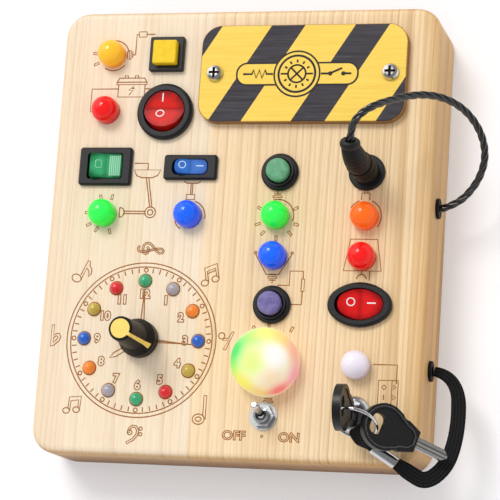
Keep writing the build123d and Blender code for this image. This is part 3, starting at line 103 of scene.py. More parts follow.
# ---------------------------------------------------------------- material building
class Nodes:
    """Short ways to add and join the nodes of one tree."""

    def __init__(self, tree):
        self.tree = tree
        self.tree.nodes.clear()

    def node(self, kind, inputs=(), **properties):
        made = self.tree.nodes.new("ShaderNode" + kind)
        for key, value in properties.items():
            setattr(made, key, value)
        for socket, value in dict(inputs).items():
            made.inputs[socket].default_value = value
        return made

    def join(self, output, socket):
        self.tree.links.new(output, socket)

    def math(self, operation, *values):
        made = self.node("Math", operation=operation)
        for value, socket in zip(values, made.inputs):
            if isinstance(value, (int, float)):
                socket.default_value = value
            else:
                self.join(value, socket)
        return made.outputs[0]

    def add(self, a, b):
        return self.math("ADD", a, b)

    def minus(self, a, b):
        return self.math("SUBTRACT", a, b)

    def times(self, a, b):
        return self.math("MULTIPLY", a, b)

    def over(self, a, b):
        return self.math("DIVIDE", a, b)

    def above(self, a, b):
        return self.math("GREATER_THAN", a, b)

    def below(self, a, b):
        return self.math("LESS_THAN", a, b)

    def size_of(self, a):
        return self.math("ABSOLUTE", a)

    def fraction(self, a):
        return self.math("FRACT", a)

    def mix(self, factor, a, b, blend="MIX"):
        made = self.node("Mix", data_type="RGBA", blend_type=blend)
        for value, index in ((factor, 0), (a, 6), (b, 7)):
            socket = made.inputs[index]
            if isinstance(value, (int, float)):
                socket.default_value = value
            elif isinstance(value, tuple):
                socket.default_value = (*value, 1)
            else:
                self.join(value, socket)
        return made.outputs[2]

    def ramp(self, factor, stops, interpolation="LINEAR"):
        """Colours, or grey levels, at their places along a value's run from 0 to 1."""
        made = self.node("ValToRGB")
        made.color_ramp.interpolation = interpolation
        band = made.color_ramp.elements
        while len(band) < len(stops):
            band.new(0.5)
        for element, (position, colour) in zip(band, stops):
            element.position = position
        for element, (position, colour) in zip(band, stops):
            element.color = (*colour, 1) if isinstance(colour, tuple) else (colour, colour, colour, 1)
        self.join(factor, made.inputs[0])
        return made.outputs[0]

    def spread(self, value, low, high):
        """A value's run from low to high as 0 to 1."""
        made = self.node("MapRange", {"From Min": low, "From Max": high}, clamp=True)
        self.join(value, made.inputs["Value"])
        return made.outputs[0]

    def axes(self, vector):
        made = self.node("SeparateXYZ")
        self.join(vector, made.inputs[0])
        return made.outputs[0], made.outputs[1], made.outputs[2]

    def along(self, vector, way):
        """How far a vector reaches along a way."""
        made = self.node("VectorMath", {1: way}, operation="DOT_PRODUCT")
        self.join(vector, made.inputs[0])
        return made.outputs["Value"]

    def noise(self, vector, scale=1.0, detail=3.0, roughness=0.5):
        made = self.node("TexNoise", {"Scale": scale, "Detail": detail, "Roughness": roughness})
        self.join(vector, made.inputs["Vector"])
        return made.outputs["Fac"]

    def wave(self, vector, bands, scale, distortion, detail, detail_scale):
        sizes = {"Scale": scale, "Distortion": distortion, "Detail": detail, "Detail Scale": detail_scale}
        made = self.node("TexWave", sizes, bands_direction=bands)
        self.join(vector, made.inputs["Vector"])
        return made.outputs["Fac"]


class Finish(Nodes):
    """A material with one principled shader, patterned on the piece's own coordinates."""

    def __init__(self, name, **sockets):
        self.material = bpy.data.materials.new(name)
        self.material.use_nodes = True
        super().__init__(self.material.node_tree)
        self.shader = self.node("BsdfPrincipled")
        self.out = self.node("OutputMaterial")
        self.join(self.shader.outputs[0], self.out.inputs["Surface"])
        self.place = self.node("TexCoord").outputs["Object"]
        for socket, value in sockets.items():
            self.shader.inputs[socket.replace("_", " ")].default_value = value

    def feed(self, output, socket="Base Color"):
        self.join(output, self.shader.inputs[socket])

    def tint(self, value, stops, socket="Base Color"):
        self.feed(self.ramp(value, stops), socket)

    def shaded(self, tone, share, value, stops):
        """A tone multiplied, by a share, with colours along a value."""
        return self.mix(share, tone, self.ramp(value, stops), "MULTIPLY")

    def scaled(self, x=1, y=1, z=1, offset=(0, 0, 0)):
        """Object coordinates moved by an offset in mm, then scaled per mm along each axis."""
        moved_place = self.node("Mapping", {"Location": [-part * MM for part in offset]})
        self.join(self.place, moved_place.inputs["Vector"])
        sized = self.node("Mapping", {"Scale": (x / MM, y / MM, z / MM)})
        self.join(moved_place.outputs[0], sized.inputs["Vector"])
        return sized.outputs[0]

    def grain(self, x, y, z, detail=3, roughness=0.5):
        """Noise with its own scale per mm along each axis."""
        return self.noise(self.scaled(x, y, z), 1.0, detail, roughness)

    def mottle(self, scale, detail=3, roughness=0.5):
        return self.grain(scale, scale, scale, detail, roughness)

    def bump(self, height, distance, strength):
        made = self.node("Bump", {"Strength": strength, "Distance": distance * MM})
        self.join(height, made.inputs["Height"])
        self.feed(made.outputs[0], "Normal")


def dress(finish, *names):
    """Gives CAD nodes a finish."""
    for name in names:
        data = nodes[name].data
        data.materials.clear()
        data.materials.append(finish.material)


# ---------------------------------------------------------------- meshes
def add_object(name, data):
    piece = bpy.data.objects.new(name, data)
    scene.collection.objects.link(piece)
    return piece


def new_mesh(name, points, faces, finish):
    data = bpy.data.meshes.new(name)
    data.from_pydata(points, [], faces)
    data.update()
    data.polygons.foreach_set("use_smooth", [True] * len(data.polygons))
    data.materials.append(finish.material)
    return add_object(name, data)


def pick(piece):
    bpy.ops.object.select_all(action="DESELECT")
    piece.select_set(True)
    bpy.context.view_layer.objects.active = piece


def join_all(pieces, name):
    pick(pieces[0])
    for piece in pieces:
        piece.select_set(True)
    bpy.ops.object.join()
    joined = bpy.context.object
    joined.name = name
    joined.data.name = name
    bpy.ops.object.select_all(action="DESELECT")
    return joined


def as_mesh(name, curve, finish):
    """Makes a curve or a text a mesh of one finish."""
    pick(add_object(name, curve))
    bpy.ops.object.convert(target="MESH")
    piece = bpy.context.object
    piece.data.materials.clear()
    piece.data.materials.append(finish.material)
    bpy.ops.object.select_all(action="DESELECT")
    return piece


def add_stroke(curve, points, closed=False):
    """Adds straight runs between points given in mm to a curve."""
    spline = curve.splines.new("POLY")
    spline.points.add(len(points) - 1)
    for point, (x, y, z) in zip(spline.points, points):
        point.co = (x * MM, y * MM, z * MM, 1)
    spline.use_cyclic_u = closed


def round_wire(name, width, resolution=1):
    """A curve that becomes round wire of a width in mm."""
    curve = bpy.data.curves.new(name, "CURVE")
    curve.dimensions = "3D"
    curve.bevel_depth = width / 2 * MM
    curve.bevel_resolution = resolution
    curve.use_fill_caps = True
    return curve


def centre_line(name, route):
    """Points along the smooth line of a route given in mm, which is a spline's control points."""
    curve = bpy.data.curves.new(name, "CURVE")
    curve.dimensions = "3D"
    curve.resolution_u = 24
    spline = curve.splines.new("NURBS")
    spline.points.add(len(route) - 1)
    for point, place in zip(spline.points, route):
        point.co = (*at_mm(*place), 1)
    spline.order_u = 3
    spline.use_endpoint_u = True
    line = add_object(name, curve)
    bpy.context.view_layer.update()
    mesh = bpy.data.meshes.new_from_object(line)
    points = [corner.co.copy() for corner in mesh.vertices]
    bpy.data.objects.remove(line)
    bpy.data.meshes.remove(mesh)
    return points


def directions(points):
    """The way that a line runs at each of its points."""
    ways = []
    for index in range(len(points)):
        before = points[max(index - 1, 0)]
        after = points[min(index + 1, len(points) - 1)]
        ways.append((after - before).normalized())
    return ways


def run_lengths(points):
    """How far along a line each of its points lies."""
    total = [0.0]
    for a, b in zip(points, points[1:]):
        total.append(total[-1] + (b - a).length)
    return total


def skin(rings):
    """Joins rings of points, all of one count, into a closed skin."""
    points = [point for ring in rings for point in ring]
    count = len(rings[0])
    faces = []
    for row in range(len(rings) - 1):
        for column in range(count):
            a = row * count + column
            b = row * count + (column + 1) % count
            faces.append((a, b, b + count, a + count))
    last = (len(rings) - 1) * count
    faces.append(tuple(reversed(range(count))))
    faces.append(tuple(last + index for index in range(count)))
    return points, faces


# ---------------------------------------------------------------- finishes of the cords
cable_skin = Finish("cable_insulation", Specular_IOR_Level=0.75)
insulation = cable_skin.mottle(1.2)
cable_skin.tint(insulation, [(0.3, (0.004, 0.004, 0.005)), (0.75, (0.014, 0.014, 0.015))])
cable_skin.tint(insulation, [(0.3, 0.12), (0.8, 0.24)], "Roughness")
cable_skin.bump(insulation, 0.05, 0.4)

webbing = Finish("strap_webbing", Roughness=0.85, Sheen_Weight=0.06, Specular_IOR_Level=0.15)
weave_map = webbing.node("UVMap").outputs[0]
weft = webbing.wave(weave_map, "Y", 0.30, 0.3, 2, 1.5)
warp = webbing.wave(weave_map, "X", 0.24, 0.2, 1, 1)
weave = webbing.add(webbing.times(weft, 0.35), webbing.times(warp, 0.65))
threads = [(0.0, (0.003, 0.003, 0.004)), (0.6, (0.008, 0.008, 0.009)), (1.0, (0.020, 0.020, 0.022))]
webbing.tint(weave, threads)
webbing.bump(weave, 0.14, 0.9)

# ---------------------------------------------------------------- supply cable: four wires twisted together
cable_route = [
    (52.0, 26.7, 62.1),
    (52.74, 31.39, 66.09),
    (56.0, 36.2, 68.2),
    (61.0, 40.0, 67.0),
    (65.9, 43.4, 61.9),
    (70.6, 46.2, 57.0),
    (76.4, 48.6, 52.1),
    (83.8, 49.0, 46.3),
    (91.0, 46.0, 40.0),
    (96.0, 39.8, 33.6),
    (97.8, 32.0, 27.7),
    (95.6, 24.4, 23.2),
    (91.0, 18.0, 20.6),
    (85.6, 13.6, 19.2),
    (79.9, 11.8, 18.6),
]
cable_diameter = 3.0
strand_count = 4
strand_radius = 0.74
strand_lay = 15.5
strand_sides = 10


def twisted_cable(name, line, finish):
    """Strands that wind round a line, one full turn in each lay."""
    side = directions(line)[0].orthogonal().normalized()
    crosswise = []
    for way in directions(line):
        side = (side - way * side.dot(way)).normalized()
        crosswise.append((side, way.cross(side)))
    strands = []
    around = (cable_diameter / 2 - strand_radius) * MM
    for strand in range(strand_count):
        rings = []
        for point, (side, other), run in zip(line, crosswise, run_lengths(line)):
            angle = 2 * pi * (run / MM / strand_lay + strand / strand_count)
            middle = point + (side * cos(angle) + other * sin(angle)) * around
            turns = [2 * pi * step / strand_sides for step in range(strand_sides)]
            ring = [side * cos(turn) + other * sin(turn) for turn in turns]
            rings.append([middle + spoke * strand_radius * MM for spoke in ring])
        strands.append(new_mesh(f"{name}_{strand}", *skin(rings), finish))
    return join_all(strands, name)


cable_line = centre_line("cable_line", cable_route)
cable = twisted_cable("twisted_supply_cable", cable_line, cable_skin)
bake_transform(cable)
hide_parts("supply_cable")

# ---------------------------------------------------------------- key strap: one woven band in four lengths
strap_route = [
    (80.0, -51.9, 16.5),
    (84.6, -52.8, 17.2),
    (89.6, -58.7, 18.5),
    (91.0, -67.8, 20.5),
    (90.7, -79.2, 23.5),
    (88.3, -89.6, 27.0),
    (81.5, -96.2, 30.0),
    (75.4, -93.0, 32.0),
    (70.57, -89.79, 33.77),
]
strap_width = 6.2
strap_thickness = 1.15
grommet_gather, gather_share = 2.4, 0.28
ferrule_pinch, pinch_share = 1.4, 0.07
strap_lean = 14
round_edge_steps = 6


def band_section(width, thickness):
    """A flat band's outline with round edges, slightly fuller at the edges than in the middle."""
    half = width / 2 - thickness / 2
    outline = []
    for side, start in ((1, -90), (-1, 90)):
        for step in range(round_edge_steps + 1):
            turn = radians(start + 180 * step / round_edge_steps)
            outline.append((side * half + thickness / 2 * cos(turn), thickness / 2 * sin(turn)))
        for share, fullness in ((0.5, 0.46), (0, 0.44), (-0.5, 0.46)):
            outline.append((side * half * share, side * thickness * fullness))
    return outline


def band_piece(name, points, acrosses, widths, thickness=strap_thickness, run_start=0.0):
    """A length of webbing along points, with its weave unrolled on it as a UV map."""
    rings = []
    unrolled = []
    stations = zip(points, directions(points), acrosses, widths, run_lengths(points))
    for point, way, across, width, run in stations:
        across = (across - way * across.dot(way)).normalized()
        normal = way.cross(across)
        section = band_section(width, thickness)
        rings.append([point + across * u * MM + normal * v * MM for u, v in section])
        unrolled += [(u, run / MM + run_start) for u, v in section]
    piece = new_mesh(name, *skin(rings), webbing)
    layer = piece.data.uv_layers.new(name="UVMap")
    for loop in piece.data.loops:
        layer.data[loop.index].uv = unrolled[loop.vertex_index]
    return piece


strap_line = centre_line("strap_line", strap_route)
strap_runs = run_lengths(strap_line)
strap_across = []
strap_widths = []
for way, run in zip(directions(strap_line), strap_runs):
    gone = run / strap_runs[-1]
    level = Vector((0, 0, 1)).cross(way).normalized()
    lean = radians(strap_lean * sin(gone * pi * 1.6))
    strap_across.append(Matrix.Rotation(lean, 3, way) @ level)
    gathered = grommet_gather * max(0, 1 - gone / gather_share)
    pinched = ferrule_pinch * max(0, (gone - 1 + pinch_share) / pinch_share)
    strap_widths.append(strap_width - gathered - pinched)
fold_start = max(i for i, p in enumerate(strap_line) if p.y > -0.0885 and p.x > 0.085)
fold_end = min(i for i, p in enumerate(strap_line) if i > fold_start and p.x < 0.0765)


def strap_part(name, first, last):
    cut = slice(first, last + 1)
    return band_piece(name, strap_line[cut], strap_across[cut], strap_widths[cut],
                      run_start=strap_runs[first] / MM)


strap_side = strap_part("key_strap_side", 0, fold_start)
strap_fold = strap_part("key_strap_fold", fold_start, fold_end)
strap_tip = strap_part("key_strap_tip", fold_end, len(strap_line) - 1)
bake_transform(strap_side)
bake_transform(strap_fold)
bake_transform(strap_tip)

# the eye at the strap's end, a short loop of the same band round the key ring
ferrule_top = Vector((61.9, -84.4, 38.0))
ferrule_bottom = Vector((70.1, -89.5, 34.0))
ferrule_way = (ferrule_top - ferrule_bottom).normalized()
ring_centre = Vector((56.7, -76.7, 47.0))
ring_radius = 8.5
ring_normal = Vector((0.1, 0.845, -0.525)).normalized()
ring_x = Vector((0, 0, 1)).cross(ring_normal).normalized()
ring_y = ring_normal.cross(ring_x)
hook_turn = radians(-108)
hook = ring_centre + (ring_x * cos(hook_turn) + ring_y * sin(hook_turn)) * ring_radius
hook_way = ring_x * -sin(hook_turn) + ring_y * cos(hook_turn)
eye_way = (hook - ferrule_top).normalized()
eye_across = (hook_way - eye_way * hook_way.dot(eye_way)).normalized()
eye_up = eye_across.cross(eye_way)
eye_middle, eye_reach, eye_half, eye_steps = 5.2, 4.4, 2.2, 40
eye_loop = []
eye_widths = []
for step in range(eye_steps + 1):
    turn = 2 * pi * step / eye_steps
    run = eye_middle - eye_reach * cos(turn)
    opened = min(1, max(0, (run - eye_middle + eye_reach) / 4.0))
    rise = eye_half * sin(turn) * (0.35 + 0.65 * opened)
    eye_loop.append((ferrule_top + eye_way * run + eye_up * rise) * MM)
    eye_widths.append(5.8 - 0.9 * max(0, cos(turn)))
strap_eye = band_piece("key_strap_eye", eye_loop, [eye_across] * len(eye_loop), eye_widths, thickness=1.2)
neck_points = []
neck_widths = []
for run, width in ((-1.5, 4.0), (-0.5, 4.1), (0.5, 4.3), (1.4, 4.4), (2.2, 4.2)):
    neck_points.append((ferrule_top + ferrule_way * run + eye_way * max(0, run) * 0.2) * MM)
    neck_widths.append(width)
neck_across = [eye_across] * len(neck_points)
strap_neck = band_piece("key_strap_neck", neck_points, neck_across, neck_widths, thickness=2.6)
strap_end = join_all([strap_eye, strap_neck], "key_strap_eye")
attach(strap_end, "ring")
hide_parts("key_strap")

# ---------------------------------------------------------------- wood
pine = Finish("varnished_pine", Specular_IOR_Level=0.25)
x, y, z = pine.axes(pine.scaled())
across = pine.spread(pine.add(x, pine.times(pine.grain(0.02, 0.006, 0.02), 3.0)), -78, 78)
# where each glued stave starts across the board, its colour, and how its growth lines are shifted
staves = [
    (0.0, (0.915, 0.775, 0.600), 0.10),
    (0.10, (0.925, 0.790, 0.612), 0.62),
    (0.425, (0.950, 0.755, 0.510), 0.27),
    (0.55, (0.905, 0.705, 0.455), 0.93),
    (0.66, (0.940, 0.745, 0.490), 0.44),
    (0.82, (0.905, 0.695, 0.435), 0.71),
    (0.965, (0.800, 0.560, 0.300), 0.20),
]
stave_tone = pine.ramp(across, [(start, colour) for start, colour, shift in staves], "CONSTANT")
stave_shift = pine.ramp(across, [(start, shift) for start, colour, shift in staves], "CONSTANT")
shifted_x = pine.add(x, pine.times(stave_shift, 173.0))
shifted = pine.node("CombineXYZ")
for value, socket in zip((shifted_x, pine.times(y, 0.022), pine.times(z, 0.35)), shifted.inputs):
    pine.join(value, socket)
drift = pine.noise(shifted.outputs[0], 0.055, 2)


def growth_lines(per_mm, waver, year, strength):
    """Lines along the grain: the tone through one year's growth, and how strong it is across the board."""
    line = pine.fraction(pine.add(pine.times(shifted_x, per_mm), pine.times(drift, waver)))
    return pine.times(pine.ramp(line, year), pine.ramp(across, strength, "EASE"))


broad_lines = growth_lines(
    0.27, 6.0,
    [(0.0, 0.0), (0.45, 0.05), (0.80, 0.45), (0.93, 1.0), (0.975, 0.35), (1.0, 0.0)],
    [(0.0, 0.28), (0.3, 0.24), (0.5, 0.55), (0.66, 0.60), (0.80, 0.62), (0.93, 0.95)])
fine_lines = growth_lines(
    0.55, 5.0,
    [(0.0, 0.0), (0.5, 0.08), (0.82, 0.8), (0.93, 0.7), (1.0, 0.0)],
    [(0.0, 0.10), (0.4, 0.14), (0.55, 0.30), (0.80, 0.42), (0.93, 0.62)])
patches = pine.spread(pine.noise(shifted.outputs[0], 0.10, 3, 0.6), 0.38, 0.62)
fibre = pine.grain(2.6, 0.05, 2.6, 5, 0.62)
fine_fibre = pine.grain(7.0, 0.16, 7.0, 3, 0.6)
flow = pine.grain(0.05, 0.014, 0.05)
late_wood = pine.times(broad_lines, pine.add(pine.times(patches, 0.8), 0.2))
tone = pine.mix(late_wood, stave_tone, (0.570, 0.330, 0.125))
tone = pine.mix(fine_lines, tone, (0.66, 0.42, 0.19))
tone = pine.shaded(tone, 0.6, fibre, [(0.30, (0.88, 0.82, 0.74)), (0.55, WHITE), (0.75, (1.04, 1.03, 1.0))])
tone = pine.shaded(tone, 0.6, flow, [(0.3, (0.95, 0.89, 0.80)), (0.6, WHITE)])
tone = pine.shaded(tone, 0.4, fine_fibre, [(0.3, (0.84, 0.76, 0.66)), (0.5, WHITE)])
# end grain takes more stain than the face, and painted shade darkens the end faces towards the bottom; the
# long sides are a little darker
normal_x, normal_y = pine.axes(pine.node("TexCoord").outputs["Normal"])[:2]
end_grain = pine.spread(pine.size_of(normal_y), 0.45, 0.9)
long_side = pine.spread(pine.size_of(normal_x), 0.3, 0.85)
# painted shade: the end faces darken towards the board's bottom, over their darker stain
end_stain_and_shade = [(0.0, (0.24, 0.135, 0.055)), (0.6, (0.44, 0.29, 0.15)), (1.0, (0.72, 0.56, 0.36))]
tone = pine.shaded(tone, end_grain, pine.spread(z, 0, 28), end_stain_and_shade)
tone = pine.mix(long_side, tone, (0.98, 0.90, 0.78), "MULTIPLY")
pine.feed(tone)
pine.tint(fibre, [(0.3, 0.58), (0.7, 0.42)], "Roughness")
pine.bump(pine.add(pine.times(fine_fibre, 0.5), fibre), 0.05, 0.5)
dress(pine, "wooden_case")

plywood = Finish("bare_plywood", Roughness=0.7)
sheet_grain = plywood.grain(0.05, 1.6, 1.6, 5, 0.6)
layer_edge = plywood.wave(plywood.scaled(), "Z", 0.3, 0.4, 1, 1)
sheet_tone = plywood.ramp(sheet_grain, [(0.3, (0.60, 0.42, 0.24)), (0.7, (0.83, 0.66, 0.44))])
plywood.feed(plywood.shaded(sheet_tone, 0.35, layer_edge, [(0.3, (0.6, 0.45, 0.3)), (0.7, WHITE)]))
plywood.bump(sheet_grain, 0.06, 0.5)
dress(plywood, "back_cover", "battery_door")

# ---------------------------------------------------------------- burnt lines on the face
burnt = Finish("burnt_line", Roughness=0.85)
char = burnt.mottle(0.9, 4, 0.65)
burnt.tint(char, [(0.30, (0.25, 0.090, 0.017)), (0.55, (0.40, 0.155, 0.034)), (0.75, (0.54, 0.240, 0.066))])


# a stroke is its points, in mm on the face, and whether it closes; a drawing is a list of strokes
def path(*points):
    return list(points), False


def outline(*points):
    return list(points), True


def arc(cx, cy, radius, start=0, end=360, steps=None, squeeze=1.0):
    """An arc that turns from one angle to another, closed when it goes all the way round."""
    steps = steps or max(6, int(abs(end - start) / 12))
    whole = abs(end - start) >= 360
    points = []
    for step in range(steps if whole else steps + 1):
        turn = radians(start + (end - start) * step / steps)
        points.append((cx + radius * cos(turn), cy + squeeze * radius * sin(turn)))
    return points, whole


def turned(points, angle, cx, cy):
    c, s = cos(radians(angle)), sin(radians(angle))
    return [(cx + x * c - y * s, cy + x * s + y * c) for x, y in points]


def moved(drawing, dx, dy, angle=0.0, size=1.0):
    """A drawing, turned, sized and put in its place."""
    strokes = []
    for points, closed in drawing:
        strokes.append((turned([(x * size, y * size) for x, y in points], angle, dx, dy), closed))
    return strokes


def hollow(points, half):
    """The outline of a thick stroke along some points."""
    left, right = [], []
    for index, (x, y) in enumerate(points):
        x0, y0 = points[max(index - 1, 0)]
        x1, y1 = points[min(index + 1, len(points) - 1)]
        run = ((x1 - x0) ** 2 + (y1 - y0) ** 2) ** 0.5
        over_x, over_y = -(y1 - y0) / run * half, (x1 - x0) / run * half
        left.append((x + over_x, y + over_y))
        right.append((x - over_x, y - over_y))
    return left + right[::-1], True


def rays(cx, cy, radius, angles, length=2.0, width=0.85):
    """The small boxes round a shining lamp."""
    half, side = length / 2, width / 2
    box = [(-half, -side), (half, -side), (half, side), (-half, side)]
    strokes = []
    for angle in angles:
        turn = radians(angle)
        strokes.append((turned(box, angle, cx + radius * cos(turn), cy + radius * sin(turn)), True))
    return strokes


def bulb_base(x, y, angle=90):
    """The screw cap of a drawn bulb: two bars and a short tip, pointing along an angle."""
    cap = [
        path((0, -1.6), (0, 1.6)),
        outline((0.8, -1.8), (0.8, 1.8), (1.5, 1.8), (1.5, -1.8)),
        path((2.2, -1.4), (2.2, 1.4)),
        path((2.2, 0), (3.4, 0)),
    ]
    return moved(cap, x, y, angle)


def lay_flat(piece, width, rise, place, squeeze=1.0):
    """Presses round lines of a width to low ribs and puts them in their place."""
    piece.data.transform(Matrix.Scale(rise * 2 / width, 4, (0, 0, 1)))
    piece.data.transform(Matrix.Scale(squeeze, 4, (1, 0, 0)))
    piece.data.transform(Matrix.Translation(at_mm(*place)))


def lines_mesh(name, drawing, width, finish, height=FACE, rise=0.03):
    """Low lines of one width along a drawing's strokes."""
    curve = round_wire(name, width)
    for points, closed in drawing:
        add_stroke(curve, [(x, y, 0) for x, y in points], closed)
    piece = as_mesh(name, curve, finish)
    lay_flat(piece, width, rise, (0, 0, height))
    return piece


def burnt_letters(name, words, size, place, line, squeeze, fat):
    """Plain lettering in outline on the face."""
    text = bpy.data.curves.new(name, "FONT")
    text.body = words
    text.size = size * MM
    text.align_x = "CENTER"
    text.align_y = "CENTER"
    text.resolution_u = 3
    text.offset = fat * MM
    text.fill_mode = "NONE"
    text.bevel_depth = line / 2 * MM
    text.bevel_resolution = 1
    piece = as_mesh(name, text, burnt)
    lay_flat(piece, line, 0.04, (*place, FACE), squeeze)
    return piece


amber_bulb = [
    arc(-56.1, 71.9, 6.4, 90, 14), arc(-56.1, 71.9, 6.3, -40, -124),
    *rays(-56.2, 71.8, 7.9, [172, 205]),
    *bulb_base(-50.4, 72.2, 0),
    path((-47.0, 72.3), (-47.0, 80.8), (-46.0, 80.8)),
    outline((-46.0, 79.7), (-42.8, 79.7), (-42.8, 81.9), (-46.0, 81.9)),
    path((-42.8, 80.8), (-39.2, 80.8)),
]
battery = [
    path((-53.1, 59.7), (-53.1, 54.5), (-41.9, 54.5), (-41.9, 59.7)),
    outline((-53.9, 59.7), (-53.9, 60.7), (-52.9, 62.4), (-42.3, 62.4), (-41.2, 60.7), (-41.2, 59.7)),
    path((-53.9, 60.7), (-41.2, 60.7)),
    path((-50.6, 62.4), (-50.6, 63.4), (-49.3, 63.4), (-49.3, 62.4)),
    path((-46.3, 62.4), (-46.3, 63.4), (-45.0, 63.4), (-45.0, 62.4)),
    path((-46.6, 58.9), (-48.7, 57.4), (-46.9, 57.2), (-48.4, 55.3)), path((-46.2, 58.2), (-47.3, 57.9)),
    path((-53.1, 57.9), (-64.4, 57.9), (-64.4, 48.4), (-62.6, 48.4)),
    path((-41.9, 57.9), (-39.2, 57.9)),
]
desk_lamp = [
    path((-43.6, 26.9), (-37.8, 26.9), (-37.8, 24.2)),
    outline((-43.5, 24.2), (-42.4, 21.8), (-40.2, 21.0), (-35.8, 21.0), (-33.6, 21.9), (-32.4, 24.2)),
    path((-38.2, 21.0), (-35.9, 9.0)), path((-37.2, 21.0), (-35.0, 9.0)),
    arc(-35.5, 6.8, 2.2), arc(-35.5, 6.8, 1.1),
    path((-37.7, 7.2), (-46.9, 7.2)), path((-37.7, 6.2), (-46.9, 6.2)),
    arc(-48.4, 6.7, 2.0, 90, -90), path((-48.4, 8.7), (-48.4, 4.7)),
    *rays(-54.0, 5.3, 7.9, [110, 75, 172, 208]), *rays(-54.0, 5.3, 6.7, [238, 288]),
]
hanging_lamp = [
    path((-22.2, 19.6), (-21.0, 18.8), (-16.5, 18.8), (-15.4, 19.6)),
    path((-19.3, 18.8), (-19.3, 14.2)), path((-18.6, 18.8), (-18.6, 14.2)),
    outline((-21.0, 14.2), (-17.5, 14.2), (-17.5, 12.2), (-21.0, 12.2)),
    arc(-19.2, 5.2, 6.6, 72, -8), arc(-19.2, 5.2, 6.0, 195, 235),
]
green_bulb = [
    *bulb_base(16.5, 12.4, 90),
    arc(16.9, 5.8, 6.7, 88, -18), arc(16.9, 5.8, 6.7, 120, 160),
    *rays(17.0, 5.0, 8.2, [152, 28, 198, 342, 228, 270, 312]),
]
funnel_shade_and_resistor = [
    path((9.4, -9.8), (14.0, -17.6), (19.0, -17.6), (23.8, -9.8)),
    arc(9.2, -9.0, 0.45), arc(23.9, -9.0, 0.45),
    *bulb_base(16.6, -17.6, 270),
    path((18.8, -21.8), (23.6, -21.8), (23.6, -16.1), (29.0, -16.1), (29.0, -19.2)),
    outline((28.4, -19.2), (29.6, -19.2), (29.6, -24.0), (28.4, -24.0)),
    path((29.0, -24.0), (29.0, -29.3), (24.6, -29.3)),
    path((16.2, -37.0), (16.2, -38.8)), path((17.0, -37.0), (17.0, -38.8)),
]
dome_bulb = [*rays(18.3, -53.2, 16.0, [118, 62]), *bulb_base(18.3, -66.4, 270)[:2]]
orange_bulb_and_shade = [
    path((50.3, 12.4), (50.3, 15.2), (53.6, 15.2), (53.6, 12.4)),
    path((51.4, 15.2), (51.4, 16.4), (52.6, 16.4), (52.6, 15.2)),
    arc(52.0, 6.0, 6.6, 68, -40), arc(52.0, 6.0, 6.6, 112, 150),
    outline((46.9, -3.1), (57.6, -3.1), (59.7, -15.6), (44.8, -15.6)),
    arc(52.1, -18.9, 1.9, 180, 0), path((52.1, -15.6), (52.1, -17.0)),
    path((55.2, -15.6), (55.2, -19.4)),
]
key_switch = [
    path((58.6, -51.9), (68.1, -51.9), (68.1, -59.2)),
    outline((61.2, -57.9), (66.4, -57.9), (66.4, -69.0), (61.2, -69.0)),
    path((66.4, -57.9), (68.8, -57.9), (68.8, -69.0)),
    outline((63.4, -59.7), (64.3, -60.6), (63.4, -61.5), (62.5, -60.6)),
    path((63.4, -63.4), (63.4, -65.4)),
    outline((66.9, -59.6), (68.1, -60.5), (66.9, -61.4)),
    outline((66.9, -63.5), (68.1, -64.4), (66.9, -65.3)),
]
# the dial, drawn round its own middle: two rings, minute marks, hour circles, painted shade rings round the
# lamps and three hands
dial_face = [arc(0, 0, 30.8, steps=96), arc(0, 0, 29.2, steps=96)]
for minute in range(60):
    turn = radians(6 * minute)
    if minute % 5:
        dial_face.append(path(*[(far * cos(turn), far * sin(turn)) for far in (28.7, 26.8)]))
    else:
        dial_face.append(arc(27.9 * cos(turn), 27.9 * sin(turn), 0.8, steps=10))
# a dark ring round each dial lamp is painted shade where the lamp sits in its hole, drawn like a burnt line
for hour in range(12):
    turn = radians(30 * hour)
    dial_face.append(arc(23.6 * cos(turn), 23.6 * sin(turn), 2.72, steps=20))
for angle, hand in (
    (90, path((6, -0.75), (20.5, 0))),
    (90, path((6, 0.75), (20.5, 0))),
    (211, path((6, -0.8), (12.0, -0.9), (14.6, 0), (12.0, 0.9), (6, 0.8))),
    (-4, outline((6, -0.6), (22.4, 0), (6, 0.6))),
    (-4, path((6, 0), (21, 0))),
):
    dial_face += moved([hand], 0, 0, angle)
face_drawing = [
    *amber_bulb, *battery, *desk_lamp, *hanging_lamp, *green_bulb, *funnel_shade_and_resistor, *dome_bulb,
    *orange_bulb_and_shade, *key_switch, *moved(dial_face, dial_x, dial_y),
]
engraving = [lines_mesh("burnt_outlines_and_lamp_shade", face_drawing, 0.5, burnt)]
for hour in range(1, 13):
    turn = radians(90 - 30 * hour)
    place = (dial_x + 18.2 * cos(turn), dial_y + 18.2 * sin(turn))
    engraving.append(burnt_letters(f"hour_{hour}", str(hour), 4.7, place, 0.42, 0.98, 0.3))

# music signs round the dial, all in outline
treble = [hollow([
    (-1.0, -1.2), (-0.7, -0.5), (0.3, -0.2), (1.4, -0.6), (2.0, -1.5), (1.4, -2.5), (0.0, -3.0), (-1.9, -2.6),
    (-2.9, -1.4), (-2.6, 0.2), (-1.1, 1.9), (0.7, 3.3), (1.7, 4.8), (1.4, 6.1), (0.6, 6.5), (-0.3, 5.6),
    (-0.3, 3.6), (0.4, 0.2), (1.1, -3.6), (0.6, -4.8), (-0.7, -5.1), (-1.5, -4.5)], 0.36)]
bass = [
    hollow([(-1.7, 0.2), (-1.5, 1.6), (-0.4, 2.7), (1.1, 2.6), (2.0, 1.3), (1.8, -0.6), (0.4, -2.4),
            (-2.2, -3.9)], 0.42),
    arc(-1.2, 0.3, 0.95), arc(3.2, 1.9, 0.65), arc(3.2, -0.3, 0.65),
]
rest = [
    outline((-0.9, 0.9), (0.9, 0.7), (2.5, 3.6), (3.3, 3.4), (0.2, -4.0), (-0.9, -3.8), (1.1, 0.0),
            (-1.4, -0.1)),
    arc(-1.9, 1.8, 1.3),
]
